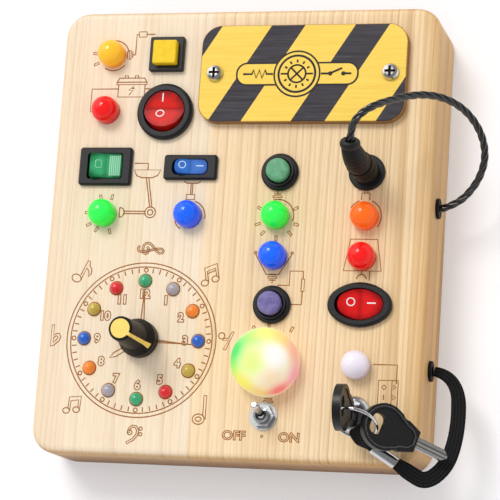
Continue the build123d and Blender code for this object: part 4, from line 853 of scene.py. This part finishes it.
half_note = [
    arc(-0.7, -3.7, 2.4, steps=22, squeeze=0.84), arc(-0.7, -3.7, 1.2, steps=14, squeeze=0.72),
    path((1.0, -2.4), (1.0, 5.6), (2.1, 5.6), (2.1, -3.7)),
]
two_notes = [
    arc(-2.5, -3.0, 1.5, steps=18, squeeze=0.8), arc(2.0, -2.2, 1.5, steps=18, squeeze=0.8),
    path((-1.8, -1.7), (-1.8, 2.9), (3.5, 3.8), (3.5, -2.0)),
    path((-0.9, -2.9), (-0.9, 1.4), (2.6, 2.1), (2.6, -1.0)),
]
double_bar = path((-0.9, 0.5), (2.6, 1.2))
one_note = [
    arc(-1.5, -3.1, 1.9, steps=20, squeeze=0.76),
    path((-0.5, -1.5), (-0.5, 4.8), (0.5, 4.8), (1.0, 3.5), (2.5, 2.3), (3.1, 0.7), (2.6, -0.8), (2.2, 0.5),
         (1.5, 1.5), (0.4, 2.0), (0.4, -3.0)),
]
flat = [
    outline((-1.7, 5.0), (-1.7, -3.8), (-0.2, -3.3), (1.8, -1.5), (2.5, 0.2), (1.7, 1.5), (0.4, 1.4),
            (-0.7, 0.6), (-0.7, 5.0)),
    outline((-0.7, -2.3), (0.7, -1.0), (1.3, 0.0), (0.8, 0.5), (0.0, 0.3), (-0.7, -0.3)),
]
music = []
for sign, dx, dy, angle, size in (
    (treble, 0.6, 36.3, -90, 0.92),
    (bass, -0.4, -37.0, 0, 1.0),
    (rest, 34.8, 0.6, 0, 0.95),
    (half_note, 26.6, -26.9, 0, 1.0),
    ([*two_notes, double_bar], 26.4, 26.6, 12, 1.0),
    (two_notes, -26.2, -26.4, -4, 0.92),
    (one_note, -26.2, 26.6, -24, 1.05),
    (flat, -35.9, 0.2, 0, 0.98),
):
    music += moved(sign, dial_x + dx, dial_y + dy, angle, size)
engraving.append(lines_mesh("music_signs", music, 0.46, burnt))
engraving.append(burnt_letters("off_on_words", "OFF    ·    ON", 4.9, (16.2, -81.2), 0.4, 1.08, 0.1))
burnt_face = join_all(engraving, "burnt_face_lines")
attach(burnt_face, "board")


# ---------------------------------------------------------------- plastics and metals
def moulded(name, low, high, rough=(0.32, 0.5), size=1.6, bump=0.03, **sockets):
    """Moulded plastic: a slightly mottled colour and sheen, with a fine texture."""
    made = Finish(name, **sockets)
    mottle = made.mottle(size, 4, 0.6)
    made.tint(mottle, [(0.3, low), (0.72, high)])
    made.tint(mottle, [(0.3, rough[0]), (0.75, rough[1])], "Roughness")
    made.bump(made.mottle(9, 2), bump, 0.5)
    return made


black = moulded(
    "black_moulding", (0.005, 0.005, 0.006), (0.014, 0.014, 0.016), (0.32, 0.48), Specular_IOR_Level=0.3)
black_satin = moulded(
    "black_satin", (0.005, 0.005, 0.006), (0.015, 0.015, 0.017), (0.40, 0.58), bump=0.05,
    Specular_IOR_Level=0.3)
rubber = moulded(
    "black_rubber", (0.004, 0.004, 0.005), (0.011, 0.011, 0.012), (0.55, 0.75), bump=0.06,
    Specular_IOR_Level=0.2)
key_plastic = moulded(
    "key_bow_plastic", (0.004, 0.004, 0.005), (0.012, 0.012, 0.013), (0.28, 0.44), bump=0.04,
    Specular_IOR_Level=0.35)
knob_plastic = moulded(
    "knob_plastic", (0.004, 0.004, 0.004), (0.011, 0.010, 0.010), (0.34, 0.50), bump=0.05,
    Specular_IOR_Level=0.14)
yellow = moulded("yellow_cap", (0.90, 0.62, 0.10), (0.98, 0.72, 0.17), (0.34, 0.46), bump=0.02)
button_yellow = moulded(
    "button_yellow", (0.80, 0.53, 0.012), (0.92, 0.64, 0.022), (0.30, 0.42), 0.5, Specular_IOR_Level=0.15)
button_green = moulded(
    "button_green", (0.075, 0.275, 0.135), (0.155, 0.43, 0.235), (0.30, 0.44), 0.35, Specular_IOR_Level=0.3)
button_blue = moulded(
    "button_blue", (0.105, 0.085, 0.27), (0.235, 0.195, 0.43), (0.30, 0.44), 0.35, Specular_IOR_Level=0.3)
red_body = moulded("red_switch_body", (0.30, 0.01, 0.01), (0.5, 0.02, 0.02), (0.4, 0.55))

dress(black, "round_button_housings", "square_button_housing", "round_rocker_housing", "green_rocker_housing",
      "blue_rocker_housing", "oval_rocker_housing", "battery_holder", "selector_switch", "dial_ring_board")
dress(black_satin, "power_jack", "speaker")
dress(rubber, "grommets")
dress(key_plastic, "key_bow", "spare_key_bow")
dress(knob_plastic, "knob")
dress(yellow, "knob_cap")
dress(button_yellow, "square_button_cap")
dress(button_green, "green_button_cap")
dress(button_blue, "blue_button_cap")
dress(red_body, "toggle_body")


def plated(name, low, high, rough, size=(3, 3, 3)):
    """Plated or bare metal with fine wear marks, of a size per mm along each axis."""
    made = Finish(name, Metallic=1.0)
    marks = made.grain(*size, 4, 0.65)
    made.tint(marks, [(0.3, low), (0.7, high)])
    made.tint(marks, [(0.3, rough[0]), (0.75, rough[1])], "Roughness")
    made.bump(marks, 0.01, 0.4)
    return made


chrome = plated("chrome_plate", (0.50, 0.50, 0.52), (0.68, 0.69, 0.71), (0.08, 0.20))
nickel = plated("nickel_plate", (0.50, 0.49, 0.47), (0.70, 0.69, 0.67), (0.18, 0.32), (2, 2, 2))
key_steel = plated("key_steel", (0.26, 0.25, 0.24), (0.62, 0.60, 0.58), (0.14, 0.30), (0.4, 3.52, 3.52))
zinc = plated("zinc_plate", (0.46, 0.47, 0.48), (0.66, 0.67, 0.68), (0.25, 0.45))
brass = plated("brass", (0.62, 0.43, 0.14), (0.80, 0.60, 0.25), (0.2, 0.35))
dress(chrome, "toggle_bushing", "toggle_lever", "lock_barrel", "lock_plug", "key_ring", "strap_ferrule")
dress(key_steel, "key_blade")
dress(nickel, "battery_contacts", "plug_contact")
dress(zinc, "assembly_screws", "panel_nuts", "selector_shaft")
dress(brass, "switch_terminals")

# the three button springs, each a coil under its button
spring_floor, spring_low, spring_high = 19.65, 20.0, 25.0
spring_radius, spring_wire = 3.6, 0.7
spring_turns, spring_steps = 4, 96
for button, travel in (("green_button", 2.5), ("blue_button", 2.5), ("square_button", 2.0)):
    spring_x, spring_y = middle_mm(f"{button}_cap")
    coil = []
    for step in range(spring_steps + 1):
        turn = 2 * pi * spring_turns * step / spring_steps
        rise = spring_low + (spring_high - spring_low) * step / spring_steps
        coil.append((spring_x + spring_radius * cos(turn), spring_y + spring_radius * sin(turn), rise))
    wire = round_wire(f"{button}_spring", spring_wire, 2)
    add_stroke(wire, coil)
    spring = as_mesh(f"{button}_spring", wire, nickel)
    spring.data.polygons.foreach_set("use_smooth", [True] * len(spring.data.polygons))
    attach(spring, "board")
    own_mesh(spring)
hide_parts("button_springs")

# the spare key's blade, with painted shade for grooves along it and painted highlights beside them
spare_way = Vector((0.78, -0.32, -0.54)).normalized()
upright = (Vector((0, 0, 1)) - spare_way * spare_way.z).normalized()
spare_up = Matrix.Rotation(radians(-12), 3, spare_way) @ upright
spare_across = spare_up.cross(spare_way)
sides = [corner.co @ spare_across for corner in bpy.data.objects["spare_key_blade"].data.vertices]
spare_steel = plated("spare_key_steel", (0.34, 0.32, 0.30), (0.66, 0.64, 0.61), (0.14, 0.28), (1.6, 1.6, 1.6))
beside = spare_steel.spread(spare_steel.along(spare_steel.place, spare_across), min(sides), max(sides))
# painted shade in the dark bands where grooves would be, painted highlights in the pale bands along their
# edges
groove_shade_and_highlights = spare_steel.ramp(beside, [
    (0.0, (0.60, 0.58, 0.55)),
    (0.20, (0.74, 0.72, 0.70)),
    (0.30, (0.10, 0.085, 0.075)),
    (0.38, (0.62, 0.60, 0.57)),
    (0.52, (0.80, 0.79, 0.77)),
    (0.60, (0.07, 0.06, 0.055)),
    (0.68, (0.30, 0.28, 0.26)),
    (0.78, (0.76, 0.74, 0.72)),
    (1.0, (0.45, 0.43, 0.41)),
])
wear = spare_steel.mottle(1.4, 4, 0.65)
spare_steel.feed(spare_steel.shaded(groove_shade_and_highlights, 0.4, wear, [(0.3, 0.7), (0.7, 1.0)]))
dress(spare_steel, "spare_key_blade")

# the plaque's screws, with painted shade dark in their recesses
screw_steel = plated("screw_steel", (0.58, 0.57, 0.56), (0.74, 0.73, 0.72), (0.10, 0.22))
x, y, z = screw_steel.axes(screw_steel.scaled())
screw_reach = (plaque_high.x - plaque_low.x) / 2 - 6.3
from_screw = screw_steel.minus(screw_steel.size_of(screw_steel.minus(x, plaque_x)), screw_reach)
squares = [screw_steel.math("POWER", value, 2.0) for value in (from_screw, screw_steel.minus(y, plaque_y))]
off_middle = screw_steel.math("SQRT", screw_steel.add(*squares))
recess_top, recess_radius = plaque_high.z + 1.85, 2.15
painted_recess_shade = screw_steel.times(screw_steel.below(z, recess_top), screw_steel.below(off_middle, recess_radius))
# painted shade: the cross recess is coloured near black
screw_steel.feed(screw_steel.mix(painted_recess_shade, (0.66, 0.65, 0.64), (0.035, 0.028, 0.022)))
dress(screw_steel, "plaque_screws")

board_green = moulded("board_green", (0.012, 0.13, 0.05), (0.03, 0.22, 0.09), (0.3, 0.4))
dress(board_green, "circuit_board", "circuit_board_parts", "rgb_lamp_module")
cell_wrap = Finish("cell_wrap", Roughness=0.3)
cell_wrap.tint(cell_wrap.mottle(0.3), [(0.3, (0.05, 0.05, 0.06)), (0.7, (0.11, 0.11, 0.13))])
dress(cell_wrap, "battery_cells")

# ---------------------------------------------------------------- lamps
# round-topped lenses lit from inside: deeper colour low on the side, brighter to the crown
lens_height = 8.9
for node, finish_name, deep, full, glow, strength in (
    ("lens_amber", "lens_amber_lit", (0.70, 0.23, 0.003), (0.88, 0.42, 0.008), (1.0, 0.66, 0.10), 0.26),
    ("lens_red", "lens_red_lit", (0.42, 0.002, 0.002), (0.74, 0.003, 0.003), (1.0, 0.03, 0.03), 0.26),
    ("lens_green", "lens_green_lit", (0.006, 0.50, 0.015), (0.012, 0.80, 0.045), (0.10, 1.0, 0.22), 0.30),
    ("lens_blue", "lens_blue_lit", (0.002, 0.03, 0.50), (0.004, 0.075, 0.78), (0.03, 0.26, 1.0), 0.30),
    ("lens_orange", "lens_orange_lit", (0.70, 0.055, 0.002), (0.84, 0.105, 0.003), (1.0, 0.24, 0.03), 0.28),
    ("lens_white", "lens_white_plain", (0.46, 0.40, 0.50), (0.76, 0.70, 0.79), (0.95, 0.90, 0.97), 0.16),
):
    lens = Finish(finish_name, Roughness=0.13, Specular_IOR_Level=0.4, Emission_Strength=strength)
    x, y, z = lens.axes(lens.scaled())
    cloud = lens.times(lens.minus(lens.mottle(0.4, 2), 0.5), 0.25)
    rise = lens.add(lens.spread(z, FACE, FACE + lens_height), cloud)
    lens.tint(rise, [(0.05, deep), (0.6, full)])
    lens.tint(rise, [(0.1, deep), (0.6, full), (1.0, glow)], "Emission Color")
    dress(lens, node)

clear_led = Finish("clear_led", Roughness=0.15, IOR=1.5, Coat_Weight=0.4)
clear_led.tint(clear_led.mottle(1, 2), [(0.3, (0.70, 0.70, 0.66)), (0.7, (0.86, 0.86, 0.82))])
dress(clear_led, "lamp_leds")

# twelve round LEDs on the dial, six colours twice round
led_colours = [
    (0.035, 0.36, 0.16),
    (0.36, 0.33, 0.37),
    (0.88, 0.22, 0.016),
    (0.012, 0.11, 0.52),
    (0.50, 0.36, 0.055),
    (0.68, 0.012, 0.02),
]
dial_led = Finish("dial_leds", Roughness=0.3, Coat_Weight=0.35, Coat_Roughness=0.15, Emission_Strength=0.14)
x, y, z = dial_led.axes(dial_led.scaled(offset=(dial_x, dial_y, 0)))
bearing = dial_led.over(dial_led.math("ARCTAN2", x, y), 2 * pi)
half_round = dial_led.fraction(dial_led.times(dial_led.fraction(dial_led.add(bearing, 1 + 1 / 24)), 2.0))
led_tone = dial_led.ramp(half_round, [(n / 6, colour) for n, colour in enumerate(led_colours)], "CONSTANT")
dial_led.feed(dial_led.shaded(led_tone, 0.5, dial_led.mottle(1.1), [(0.3, 0.78), (0.7, 1.12)]))
dial_led.feed(led_tone, "Emission Color")
dress(dial_led, "dial_leds")

# the colour-changing dome: colours flow round it and wash out to white
dome_centre, dome_radius = Vector((16.8, -52.5, 34.0)), 13.2
dome = Finish("colour_dome", Roughness=0.55, Specular_IOR_Level=0.12, Emission_Strength=0.46)
tone = dome.ramp(dome.mottle(0.08), [(0.3, (1.0, 0.93, 0.66)), (0.7, (1.0, 0.90, 0.68))])
# each glow's place to the right and up as the camera sees the dome, its reach and its colour
for side, rise, reach, colour in (
    (-0.40, 0.75, 0.60, (0.50, 0.92, 0.22)),
    (0.10, 0.88, 0.50, (0.92, 0.98, 0.24)),
    (0.55, 0.70, 0.50, (1.0, 0.76, 0.24)),
    (0.90, 0.28, 0.55, (1.0, 0.52, 0.36)),
    (-0.42, 0.05, 0.55, (0.76, 0.98, 0.26)),
    (-0.92, -0.18, 0.50, (0.42, 0.94, 0.15)),
    (-0.62, -0.62, 0.50, (0.96, 0.88, 0.13)),
    (-0.12, -0.90, 0.45, (1.0, 0.72, 0.24)),
    (0.22, -0.52, 0.45, (1.0, 0.78, 0.52)),
    (0.88, -0.38, 0.52, (1.0, 0.40, 0.46)),
    (0.42, -0.82, 0.42, (1.0, 0.20, 0.19)),
    (-0.86, 0.36, 0.50, (0.07, 0.78, 0.16)),
    (0.34, 0.20, 0.42, (1.0, 0.98, 0.93)),
):
    out = max(0.0, 1 - side * side - rise * rise) ** 0.5
    centre = dome_centre + (camera_right * side + camera_up * rise + camera_back * out) * dome_radius
    away = dome.node("VectorMath", operation="LENGTH")
    dome.join(dome.scaled(offset=centre), away.inputs[0])
    near, far = 0.2 * reach * dome_radius, 1.3 * reach * dome_radius
    fade = {"From Min": near, "From Max": far, "To Min": 0.95, "To Max": 0.0}
    glow = dome.node("MapRange", fade, interpolation_type="SMOOTHSTEP")
    dome.join(away.outputs["Value"], glow.inputs["Value"])
    tone = dome.mix(glow.outputs[0], tone, colour)
dome.feed(dome.mix(1.0, tone, (0.62, 0.62, 0.62), "MULTIPLY"))
dome.feed(tone, "Emission Color")
dress(dome, "rgb_dome")

# ---------------------------------------------------------------- spare key's bow
# a fine moulded ridge just inside its edge, on both faces, in a lighter grey than the bow as a painted
# highlight along the edge
ridge_highlight_plastic = moulded(
    "bow_ridge", (0.030, 0.030, 0.033), (0.075, 0.075, 0.080), (0.20, 0.34), Specular_IOR_Level=0.6)
bow_points = [corner.co for corner in bpy.data.objects["spare_key_bow"].data.vertices]
bow_middle = sum(bow_points, Vector()) / len(bow_points)
bow_turn = Matrix((spare_way, spare_across, spare_up)).transposed().to_4x4()
flat_points = [bow_turn.inverted() @ (point - bow_middle) / MM for point in bow_points]
bow_half = max(abs(point.z) for point in flat_points)
far_edge = {}
for point in flat_points:
    bearing = round(atan2(point.y, point.x) / radians(5))
    if bearing not in far_edge or point.xy.length > far_edge[bearing].length:
        far_edge[bearing] = point.xy
edge = [far_edge[bearing] for bearing in sorted(far_edge) if far_edge[bearing].length > 4.5]
evened = []
for index, point in enumerate(edge):
    evened.append((edge[index - 1] + point * 2 + edge[(index + 1) % len(edge)]) / 4)
inside = [tuple(point * (1 - 1.1 / point.length)) for point in evened]
ridges = []
for name, side in (("upper", 1), ("lower", -1)):
    drawing = [outline(*inside)]
    ridge = lines_mesh(f"bow_ridge_{name}", drawing, 0.5, ridge_highlight_plastic, height=side * bow_half, rise=0.14)
    ridge.data.transform(Matrix.Translation(bow_middle) @ bow_turn)
    ridges.append(ridge)
bow_ridge = join_all(ridges, "spare_key_bow_ridge")
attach(bow_ridge, "spare_key")


# ---------------------------------------------------------------- rocker switches
def rocker_plastic(name, node, half_length, half_width, deep, full, glow, strength=0.16, upright=False,
                   **sockets):
    """Coloured rocker plastic, with painted shade deepening it towards its rim and its crease, and a painted
    glow lighter in its middle.
    """
    made = Finish(name, Emission_Strength=strength, **sockets)
    x, y, z = made.axes(made.scaled(offset=(*middle_mm(node), 0)))
    along, beside = (y, x) if upright else (x, y)
    ends = made.math("POWER", made.over(along, half_length), 2.0)
    sides = made.math("POWER", made.over(beside, half_width), 2.0)
    cloud = made.times(made.minus(made.mottle(0.35, 2), 0.5), 0.5)
    # painted shade towards the rim and along the crease between the halves
    rim = made.add(made.add(ends, sides), cloud)
    crease = made.spread(made.size_of(made.minus(along, 0.6)), 0.0, 1.8)
    shade = made.times(made.ramp(rim, [(0.25, 1.0), (0.95, 0.1)]), made.add(made.times(crease, 0.45), 0.55))
    tone = made.ramp(shade, [(0.0, deep), (0.9, full)])
    made.feed(tone)
    # painted glow: the emission is brightest where the painted shade is least
    made.tint(shade, [(0.0, deep), (1.0, glow)], "Emission Color")
    dress(made, node)
    return made, along, beside, tone


clear = {"Roughness": 0.14, "Specular_IOR_Level": 0.16}
rocker_plastic(
    "round_rocker_red", "round_rocker", 8.6, 8.6, (0.12, 0.002, 0.002), (0.52, 0.008, 0.006),
    (0.9, 0.03, 0.015), upright=True, **clear)
rocker_plastic(
    "oval_rocker_red", "oval_rocker", 9.6, 6.3, (0.16, 0.002, 0.003), (0.56, 0.008, 0.009), (0.9, 0.03, 0.03),
    **clear)
rocker_plastic(
    "blue_rocker_moulded", "blue_rocker", 7.6, 3.6, (0.010, 0.065, 0.30), (0.030, 0.145, 0.52),
    (0.05, 0.20, 0.6), 0.08, Roughness=0.22, Specular_IOR_Level=0.35)
green_clear, along, beside, tone = rocker_plastic(
    "green_rocker_clear", "green_rocker", 7.6, 5.4, (0.004, 0.075, 0.022), (0.035, 0.31, 0.12),
    (0.08, 0.6, 0.26), 0.14, **clear)
# fine ribs across one half of the green rocker
ribs = green_clear.above(green_clear.fraction(green_clear.over(along, 0.82)), 0.45)
between_ends = green_clear.times(green_clear.above(along, 1.9), green_clear.below(along, 6.6))
ribbed = green_clear.times(between_ends, green_clear.below(green_clear.size_of(beside), 4.1))
green_clear.feed(green_clear.mix(ribbed, tone, green_clear.mix(ribs, (0.10, 0.36, 0.19), (0.30, 0.58, 0.40))))

mark_white = moulded("mark_white", (0.80, 0.74, 0.75), (0.94, 0.90, 0.90), (0.4, 0.5), bump=0.01)
mark_blue = moulded("mark_pale_blue", (0.48, 0.62, 0.88), (0.60, 0.72, 0.94), (0.4, 0.5), bump=0.01)
mark_green = moulded("mark_pale_green", (0.16, 0.50, 0.28), (0.24, 0.62, 0.38), (0.4, 0.5), bump=0.01)
off_box = outline((-4.2, -0.6), (-4.2, 1.7), (-3.8, 2.1), (-2.2, 2.1), (-1.8, 1.7), (-1.8, -0.6),
                  (-2.2, -1.0), (-3.8, -1.0))
raised_tilt, crease_shift = 16, 0.557
# marks printed on the rockers, drawn along and across each from its crease; the "off" half stands raised
for colour, state, stroke, width, finish, height, turn in (
    ("round", "off", arc(-1.7, 1.5, 1.4, steps=24, squeeze=1.15), 0.55, mark_white, 2.7, 90),
    ("round", "on", path((3.3, 0.9), (6.8, 0.9)), 0.6, mark_white, 2.7, 90),
    ("oval", "off", arc(-3.7, 0.7, 1.5, steps=24), 0.5, mark_white, 2.5, 0),
    ("oval", "on", path((2.6, 0.5), (6.0, 0.5)), 0.6, mark_white, 2.5, 0),
    ("blue", "off", arc(-3.5, 0.6, 1.35, steps=24), 0.45, mark_blue, 2.5, 0),
    ("blue", "on", path((2.1, 0.3), (5.2, 0.3)), 0.5, mark_blue, 2.5, 0),
    ("green", "off", off_box, 0.5, mark_green, 2.5, 0),
):
    mark = lines_mesh(f"{colour}_switch_{state}_mark", [stroke], width, finish, height=0.0, rise=0.06)
    place = Matrix.Translation(at_mm(*middle_mm(f"{colour}_rocker"), FACE + height))
    facing = Matrix.Rotation(radians(turn), 4, "Z")
    slope = Matrix.Rotation(radians(raised_tilt if state == "off" else 0), 4, "Y")
    mark.data.transform(place @ facing @ Matrix.Translation(at_mm(crease_shift, 0, 0)) @ slope)
    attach(mark, f"{colour}_switch")

# ---------------------------------------------------------------- power plug
# soft collar at the top of the neck, where the cable comes out
bpy.ops.mesh.primitive_torus_add(major_segments=48, minor_segments=16, major_radius=2.75 * MM,
                                 minor_radius=1.2 * MM)
collar = bpy.context.object
collar.name = collar.data.name = "plug_neck_collar"
bpy.ops.object.shade_smooth()
neck_way = (Vector(cable_route[1]) - Vector(cable_route[0])).normalized()
neck_turn = neck_way.to_track_quat("Z", "Y").to_matrix().to_4x4()
collar.data.transform(Matrix.Scale(1.35, 4, (0, 0, 1)))
collar.data.transform(Matrix.Translation(at_mm(*cable_route[0])) @ neck_turn)
collar.data.materials.append(black_satin.material)
bpy.ops.object.select_all(action="DESELECT")
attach(collar, "plug")

# the plug and its neck, with fine moulded ribs up the neck
ribbed_plug = moulded(
    "plug_rubber", (0.004, 0.004, 0.005), (0.011, 0.011, 0.012), (0.40, 0.54), bump=0.04,
    Specular_IOR_Level=0.14)
x, y, z = ribbed_plug.axes(ribbed_plug.scaled())
rib_pitch = 2.2
rib_run = ribbed_plug.times(ribbed_plug.add(z, ribbed_plug.times(y, 0.25)), 2 * pi / rib_pitch)
rib_zone = ribbed_plug.times(ribbed_plug.spread(z, 45.4, 46.2), ribbed_plug.spread(z, 57.5, 56.5))
ribbed_plug.bump(ribbed_plug.times(ribbed_plug.math("SINE", rib_run), rib_zone), 0.22, 0.7)
dress(ribbed_plug, "power_plug")

# ---------------------------------------------------------------- plaque print
plaque = Finish("printed_plaque", Roughness=0.55, Specular_IOR_Level=0.15)
x, y, z = plaque.axes(plaque.scaled())
stripe_slope, stripe_start, stripe_pitch, yellow_share = 0.61, 197.2, 34.2, 0.595
slanted = plaque.add(plaque.minus(x, plaque.times(y, stripe_slope)), stripe_start)
period = plaque.fraction(plaque.over(slanted, stripe_pitch))
stripe = plaque.ramp(period, [(0.0, 0.0), (yellow_share, 1.0)], "CONSTANT")
veneer = plaque.grain(0.06, 1.3, 1.3, 5, 0.65)
paint_yellow = plaque.ramp(veneer, [(0.3, (0.86, 0.57, 0.085)), (0.6, (0.955, 0.665, 0.125))])
paint_dark = plaque.ramp(
    veneer, [(0.34, (0.034, 0.031, 0.037)), (0.60, (0.062, 0.056, 0.066)), (0.80, (0.125, 0.115, 0.125))])
bare_side = plaque.ramp(veneer, [(0.3, (0.20, 0.09, 0.03)), (0.7, (0.42, 0.22, 0.08))])
on_top = plaque.spread(z, plaque_high.z - 0.3, plaque_high.z - 0.15)
plaque.feed(plaque.mix(on_top, bare_side, plaque.mix(stripe, paint_yellow, paint_dark)))
plaque.bump(veneer, 0.05, 0.4)
dress(plaque, "hazard_plaque")

print_black = moulded(
    "print_black", (0.020, 0.019, 0.021), (0.040, 0.038, 0.041), (0.5, 0.65), bump=0.01,
    Specular_IOR_Level=0.15)
print_yellow = moulded(
    "print_yellow", (0.88, 0.60, 0.095), (0.955, 0.67, 0.125), (0.5, 0.65), 0.5,
    bump=0.01, Specular_IOR_Level=0.15)


def flat_shape(name, points, finish, low, high):
    """A thin flat patch of print inside some points, between two heights."""
    curve = bpy.data.curves.new(name, "CURVE")
    curve.dimensions = "2D"
    curve.fill_mode = "BOTH"
    curve.extrude = (high - low) / 2 * MM
    add_stroke(curve, [(x, y, 0) for x, y in points], True)
    piece = as_mesh(name, curve, finish)
    piece.data.transform(Matrix.Translation(at_mm(0, 0, (low + high) / 2)))
    return piece


def round_box(cx, cy, width, height, corner):
    """The outline of a box with round corners."""
    points = []
    for sign_x, sign_y, start in ((1, 1, 0), (-1, 1, 90), (-1, -1, 180), (1, -1, 270)):
        middle_x = cx + sign_x * (width / 2 - corner)
        middle_y = cy + sign_y * (height / 2 - corner)
        points += arc(middle_x, middle_y, corner, start, start + 90, steps=6)[0]
    return points


# a round lamp sign in the middle of a long strip, with a resistor on its left and an open switch on its right
emblem_x, emblem_y = 22.0, 62.6
emblem_floor = plaque_high.z + 0.01
layer_step = 0.03
layers = [
    (print_black, round_box(emblem_x, emblem_y, 50.0, 9.6, 4.4)),
    (print_yellow, round_box(emblem_x, emblem_y, 48.6, 8.2, 3.8)),
]
for finish, radius in ((print_black, 9.6), (print_yellow, 8.9), (print_black, 7.9), (print_yellow, 7.0)):
    layers.append((finish, arc(emblem_x, emblem_y, radius, steps=48)[0]))
emblem = []
for number, (finish, points) in enumerate(layers):
    low = emblem_floor + layer_step * number
    emblem.append(flat_shape(f"emblem_layer_{number}", points, finish, low, low + layer_step))
cross = 3.6 * cos(radians(45))
signs = [
    arc(0, 0, 3.6, steps=30),
    path((-cross, -cross), (cross, cross)), path((-cross, cross), (cross, -cross)),
]
for angle in (30, 60, 90, 120, 150, 210, 240, 270, 300, 330):
    turn = radians(angle)
    signs.append(path(*[(far * cos(turn), far * sin(turn)) for far in (4.6, 5.8)]))
signs += [
    path((-3.6, 0), (-6.6, 0)), path((3.6, 0), (6.6, 0)),
    path((-9.8, 0), (-12.4, 0), (-13.0, 1.7), (-14.2, -1.7), (-15.4, 1.7), (-16.6, -1.7), (-17.8, 1.7),
         (-18.4, 0), (-22.0, 0)),
    path((9.8, 0), (13.0, 0)), arc(13.5, 0, 0.5, steps=10), path((13.9, 0.3), (18.2, 2.2)),
    arc(18.8, 0, 0.5, steps=10), path((19.3, 0), (22.0, 0)),
]
signs = moved(signs, emblem_x, emblem_y)
emblem.append(lines_mesh("emblem_signs", signs, 0.75, print_black, height=plaque_high.z + 0.19, rise=0.05))
badge = join_all(emblem, "plaque_emblem")
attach(badge, "board")

# ---------------------------------------------------------------- floor, world and lamps
bpy.ops.mesh.primitive_plane_add(size=6, location=(0, 0, -0.0005))
floor = bpy.context.object
floor.name = "studio_floor"
floor.data.transform(floor.matrix_basis)
floor.matrix_basis = Matrix.Identity(4)
floor_finish = Finish("studio_floor")
diffuse = floor_finish.node("BsdfDiffuse", {"Color": (0.82, 0.805, 0.815, 1)})
seen = floor_finish.node("Emission")
rays_seen = floor_finish.node("LightPath").outputs
mirrored = floor_finish.math("MAXIMUM", rays_seen["Is Glossy Ray"], rays_seen["Is Transmission Ray"])
seen_by = floor_finish.math("MAXIMUM", rays_seen["Is Camera Ray"], mirrored)
floor_finish.join(floor_finish.times(seen_by, 0.20), seen.inputs["Strength"])
both = floor_finish.node("AddShader")
floor_finish.join(diffuse.outputs[0], both.inputs[0])
floor_finish.join(seen.outputs[0], both.inputs[1])
floor_finish.join(both.outputs[0], floor_finish.out.inputs["Surface"])
floor.data.materials.append(floor_finish.material)
bpy.ops.object.select_all(action="DESELECT")

world = bpy.data.worlds.new("studio")
scene.world = world
world.use_nodes = True
sky = Nodes(world.node_tree)
way = sky.node("TexCoord").outputs["Generated"]
ceiling = sky.ramp(sky.axes(way)[2], [(0.0, 1.0), (0.30, 0.85), (0.55, 0.26), (1.0, 0.30)])
softbox = sky.spread(sky.along(way, Vector((-0.62, 0.45, 0.64)).normalized()), 0.82, 0.93)
paths = sky.node("LightPath").outputs
studio = sky.mix(softbox, ceiling, (1.5, 1.5, 1.5))
room = sky.mix(paths["Is Glossy Ray"], (0.73, 0.73, 0.74), studio)
ground = sky.node("Background")
sky.join(sky.mix(paths["Is Camera Ray"], room, WHITE), ground.inputs[0])
sky.join(ground.outputs[0], sky.node("OutputWorld").inputs[0])

key_light = bpy.data.lights.new("key_light", "SUN")
key_light.energy = 1.5
key_light.angle = radians(24)
key_light.color = (1.0, 0.985, 0.96)
key_lamp = add_object("key_light", key_light)
lamp_turn = Vector((-0.36, 0.66, 1.0)).to_track_quat("Z", "Y").to_matrix().to_4x4()
key_lamp.matrix_world = Matrix.Translation((-0.6, 0.5, 1.2)) @ lamp_turn
scene.view_settings.view_transform = "Standard"
